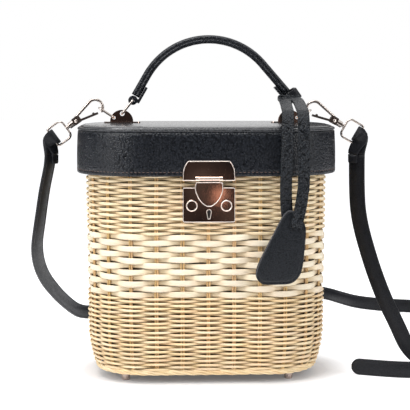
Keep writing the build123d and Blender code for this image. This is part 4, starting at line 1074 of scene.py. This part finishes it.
UPRIGHT = (0, 0, 1)
long_path = spline_path(left_route[:-1] + floor_route)
fall_share = length_of(spline_path(left_route)) / length_of(long_path)
long_lies = blend_lies(long_path, (0.52, 0.854, 0), UPRIGHT, 0.20 * fall_share, 0.95 * fall_share)
long_strap = strap("shoulder_strap_long", long_path, long_lies, round_tip=True)
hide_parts("strap_left_fall", "strap_floor")
right_path = spline_path(right_route)
right_lies = blend_lies(right_path, (*FALL_WAY, 0), UPRIGHT, 0.0, 1.0)
right_strap = strap("shoulder_strap_right", right_path, right_lies)
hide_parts("strap_right_fall")

# CAD nodes that stay, with a finish from their slot and a rounded edge on the metal
FINISH = {
    "metal_rose": ROSE, "board": BOARD, "lining_cloth": LINING, "leather_black": BLACK, "reed": REED,
    "reed_pale": FLAT_REED,
}
WIRES = ("hook_", "gate_", "swivel_loop", "strap_ring", "handle_ring")
FEET = ("foot_front", "foot_back")
EDGES = {"lock_case": 0.55, "hasp_plate": 0.4, "hasp": 0.45, "bolt_left": 0.0, "bolt_right": 0.0,
         "lug_left": 0.35, "lug_right": 0.35}
PLAIN_EDGE = 0.15


def metal_of(node):
    if node == "foot_screws":
        return STEEL
    if node.startswith(WIRES):
        return SHADED_WIRE
    if node.startswith(FEET):
        return FOOT
    return ROSE


def round_edges(piece, width):
    bevel = piece.modifiers.new("rim", "BEVEL")
    bevel.width = width * MM
    bevel.segments = 3
    bevel.limit_method = "ANGLE"
    bevel.angle_limit = math.radians(40)
    bevel.harden_normals = True


slots = {part["node"]: part["material_slot"] for part in frame["record"]["subparts"]}
for node, piece in frame["nodes"].items():
    if piece.hide_render:
        continue
    is_metal = slots[node] == "metal_rose"
    material = metal_of(node) if is_metal else FINISH[slots[node]]
    piece.data.materials.clear()
    piece.data.materials.append(material)
    if is_metal:
        piece.data.polygons.foreach_set("use_smooth", [True] * len(piece.data.polygons))
        width = EDGES.get(node, PLAIN_EDGE)
        if width and material is not SHADED_WIRE:
            round_edges(piece, width)
basket_rim = frame["nodes"]["rim"]
paint(basket_rim, np.tile(STRAW, (len(basket_rim.data.vertices), 1)))


# Floor, world and lamps
def stage_quad(name, corners, material):
    mesh = bpy.data.meshes.new(name)
    mesh.from_pydata(corners, [], [(0, 1, 2, 3)])
    mesh.materials.append(material)
    piece = bpy.data.objects.new(name, mesh)
    scene.collection.objects.link(piece)
    return piece


def seen_directly(tree, with_glass):
    """1 for the camera's rays and for reflections, and where asked for what is seen through glass."""
    rays = tree.add("LightPath", {}).outputs
    seen = tree.combine("MAXIMUM", rays["Is Camera Ray"], rays["Is Glossy Ray"])
    if with_glass:
        seen = tree.combine("MAXIMUM", seen, rays["Is Transmission Ray"])
    return seen


def build_floor():
    """A white floor that keeps the bag's shadow: it glows less under the basket than around it."""
    glow_near = 0.10
    glow_far = 0.62
    foot = (1 / 0.102, 1 / 0.074, 0.0)
    material = bpy.data.materials.new("floor_white")
    tree = Tree(material, clear=True)
    from_foot = tree.add("VectorMath", {0: tree.stretch(tree.place(), foot)}, operation="LENGTH")
    level = tree.scaled(from_foot.outputs["Value"], 1.0, 1.3, glow_near, glow_far)
    strength = tree.combine("MULTIPLY", seen_directly(tree, False), level)
    glow = tree.add("Emission", {"Color": (1, 1, 1, 1), "Strength": strength}).outputs["Emission"]
    paper = tree.add("BsdfDiffuse", {"Color": (0.86, 0.86, 0.88, 1)}).outputs["BSDF"]
    total = tree.add("AddShader", {0: paper, 1: glow}).outputs["Shader"]
    tree.add("OutputMaterial", {"Surface": total})
    half = 6
    stage_quad("floor", [(-half, -half, 0), (half, -half, 0), (half, half, 0), (-half, half, 0)], material)


def build_world():
    """White where it is seen or mirrored, and a soft light on the bag."""
    world = bpy.data.worlds.new("world")
    scene.world = world
    tree = Tree(world, clear=True)
    lit = tree.add("Background", {"Color": (0.97, 0.98, 1.0, 1), "Strength": 0.50}).outputs["Background"]
    shown = tree.add("Background", {"Color": (1, 1, 1, 1), "Strength": 1.0}).outputs["Background"]
    mixed = tree.add("MixShader", {0: seen_directly(tree, True), 1: lit, 2: shown}).outputs["Shader"]
    tree.add("OutputWorld", {"Surface": mixed})


def area_light(name, place, target, size, power):
    data = bpy.data.lights.new(name, "AREA")
    data.shape = "RECTANGLE"
    data.size, data.size_y = size
    data.energy = power
    lamp = bpy.data.objects.new(name, data)
    lamp.location = place
    lamp.rotation_euler = (Vector(target) - Vector(place)).to_track_quat("-Z", "Y").to_euler()
    scene.collection.objects.link(lamp)


def glossy_card(name, corners, stops, scale):
    """A part of the studio that only reflections show."""
    material = bpy.data.materials.new(name)
    tree = Tree(material, clear=True)
    colour = tree.ramp(tree.noise(tree.place(), scale, 2.0), stops)
    glow = tree.add("Emission", {"Color": colour}).outputs["Emission"]
    tree.add("OutputMaterial", {"Surface": glow})
    card = stage_quad(name, corners, material)
    card.visible_camera = False
    card.visible_diffuse = False
    card.visible_shadow = False
    card.visible_transmission = False


def upright_card(name, start, end, top, stops, scale):
    """A card that stands on a line from start to end."""
    bottom = -0.3
    corners = [(*start, bottom), (*end, bottom), (*end, top), (*start, top)]
    glossy_card(name, corners, stops, scale)


def build_cards():
    front = -1.14
    back = 2.2
    reach = 1.45
    inner = 0.30
    low = 0.9
    wall = [(0.40, (0.008, 0.008, 0.010)), (0.5, (0.030, 0.021, 0.019)), (0.60, (0.075, 0.055, 0.048))]
    upright_card("dark_wall", (-2.2, front), (2.2, front), 1.5, wall, 7.0)
    for side, sign in SIDES:
        upright_card(f"dark_{side}", (sign * reach, front), (sign * reach, back), low,
                     [(0.4, (0.02, 0.02, 0.024)), (0.6, (0.07, 0.06, 0.06))], 3.0)
        near, far = sorted((sign * inner, sign * reach))
        upright_card(f"dark_back_{side}", (near, back), (far, back), low,
                     [(0.4, (0.02, 0.02, 0.024)), (0.6, (0.05, 0.05, 0.05))], 3.0)
    ground = [(x, y, 0.004) for x, y in ((-0.7, -1.13), (0.7, -1.13), (0.7, -0.40), (-0.7, -0.40))]
    glossy_card("dark_floor", ground, [(0.4, (0.02, 0.014, 0.012)), (0.6, (0.06, 0.04, 0.034))], 6.0)
    # A warm glowing card that paints a reflection on the hasp's shield.
    patch = [(x, -1.12, z) for x, z in ((0.047, 0.050), (0.066, 0.044), (0.068, 0.070), (0.052, 0.066))]
    glossy_card("warm_patch", patch, [(0.3, (0.85, 0.36, 0.24)), (0.7, (0.95, 0.50, 0.36))], 30.0)


build_floor()
build_world()
area_light("top_light", (-0.25, -0.35, 1.3), (0, 0, 0.1), (0.9, 0.9), 11.0)
area_light("left_light", (-1.1, -0.85, 0.75), (0, 0, 0.12), (0.5, 0.8), 10.0)
area_light("right_light", (1.2, -0.8, 0.7), (0, 0, 0.12), (0.4, 0.8), 7.0)
build_cards()
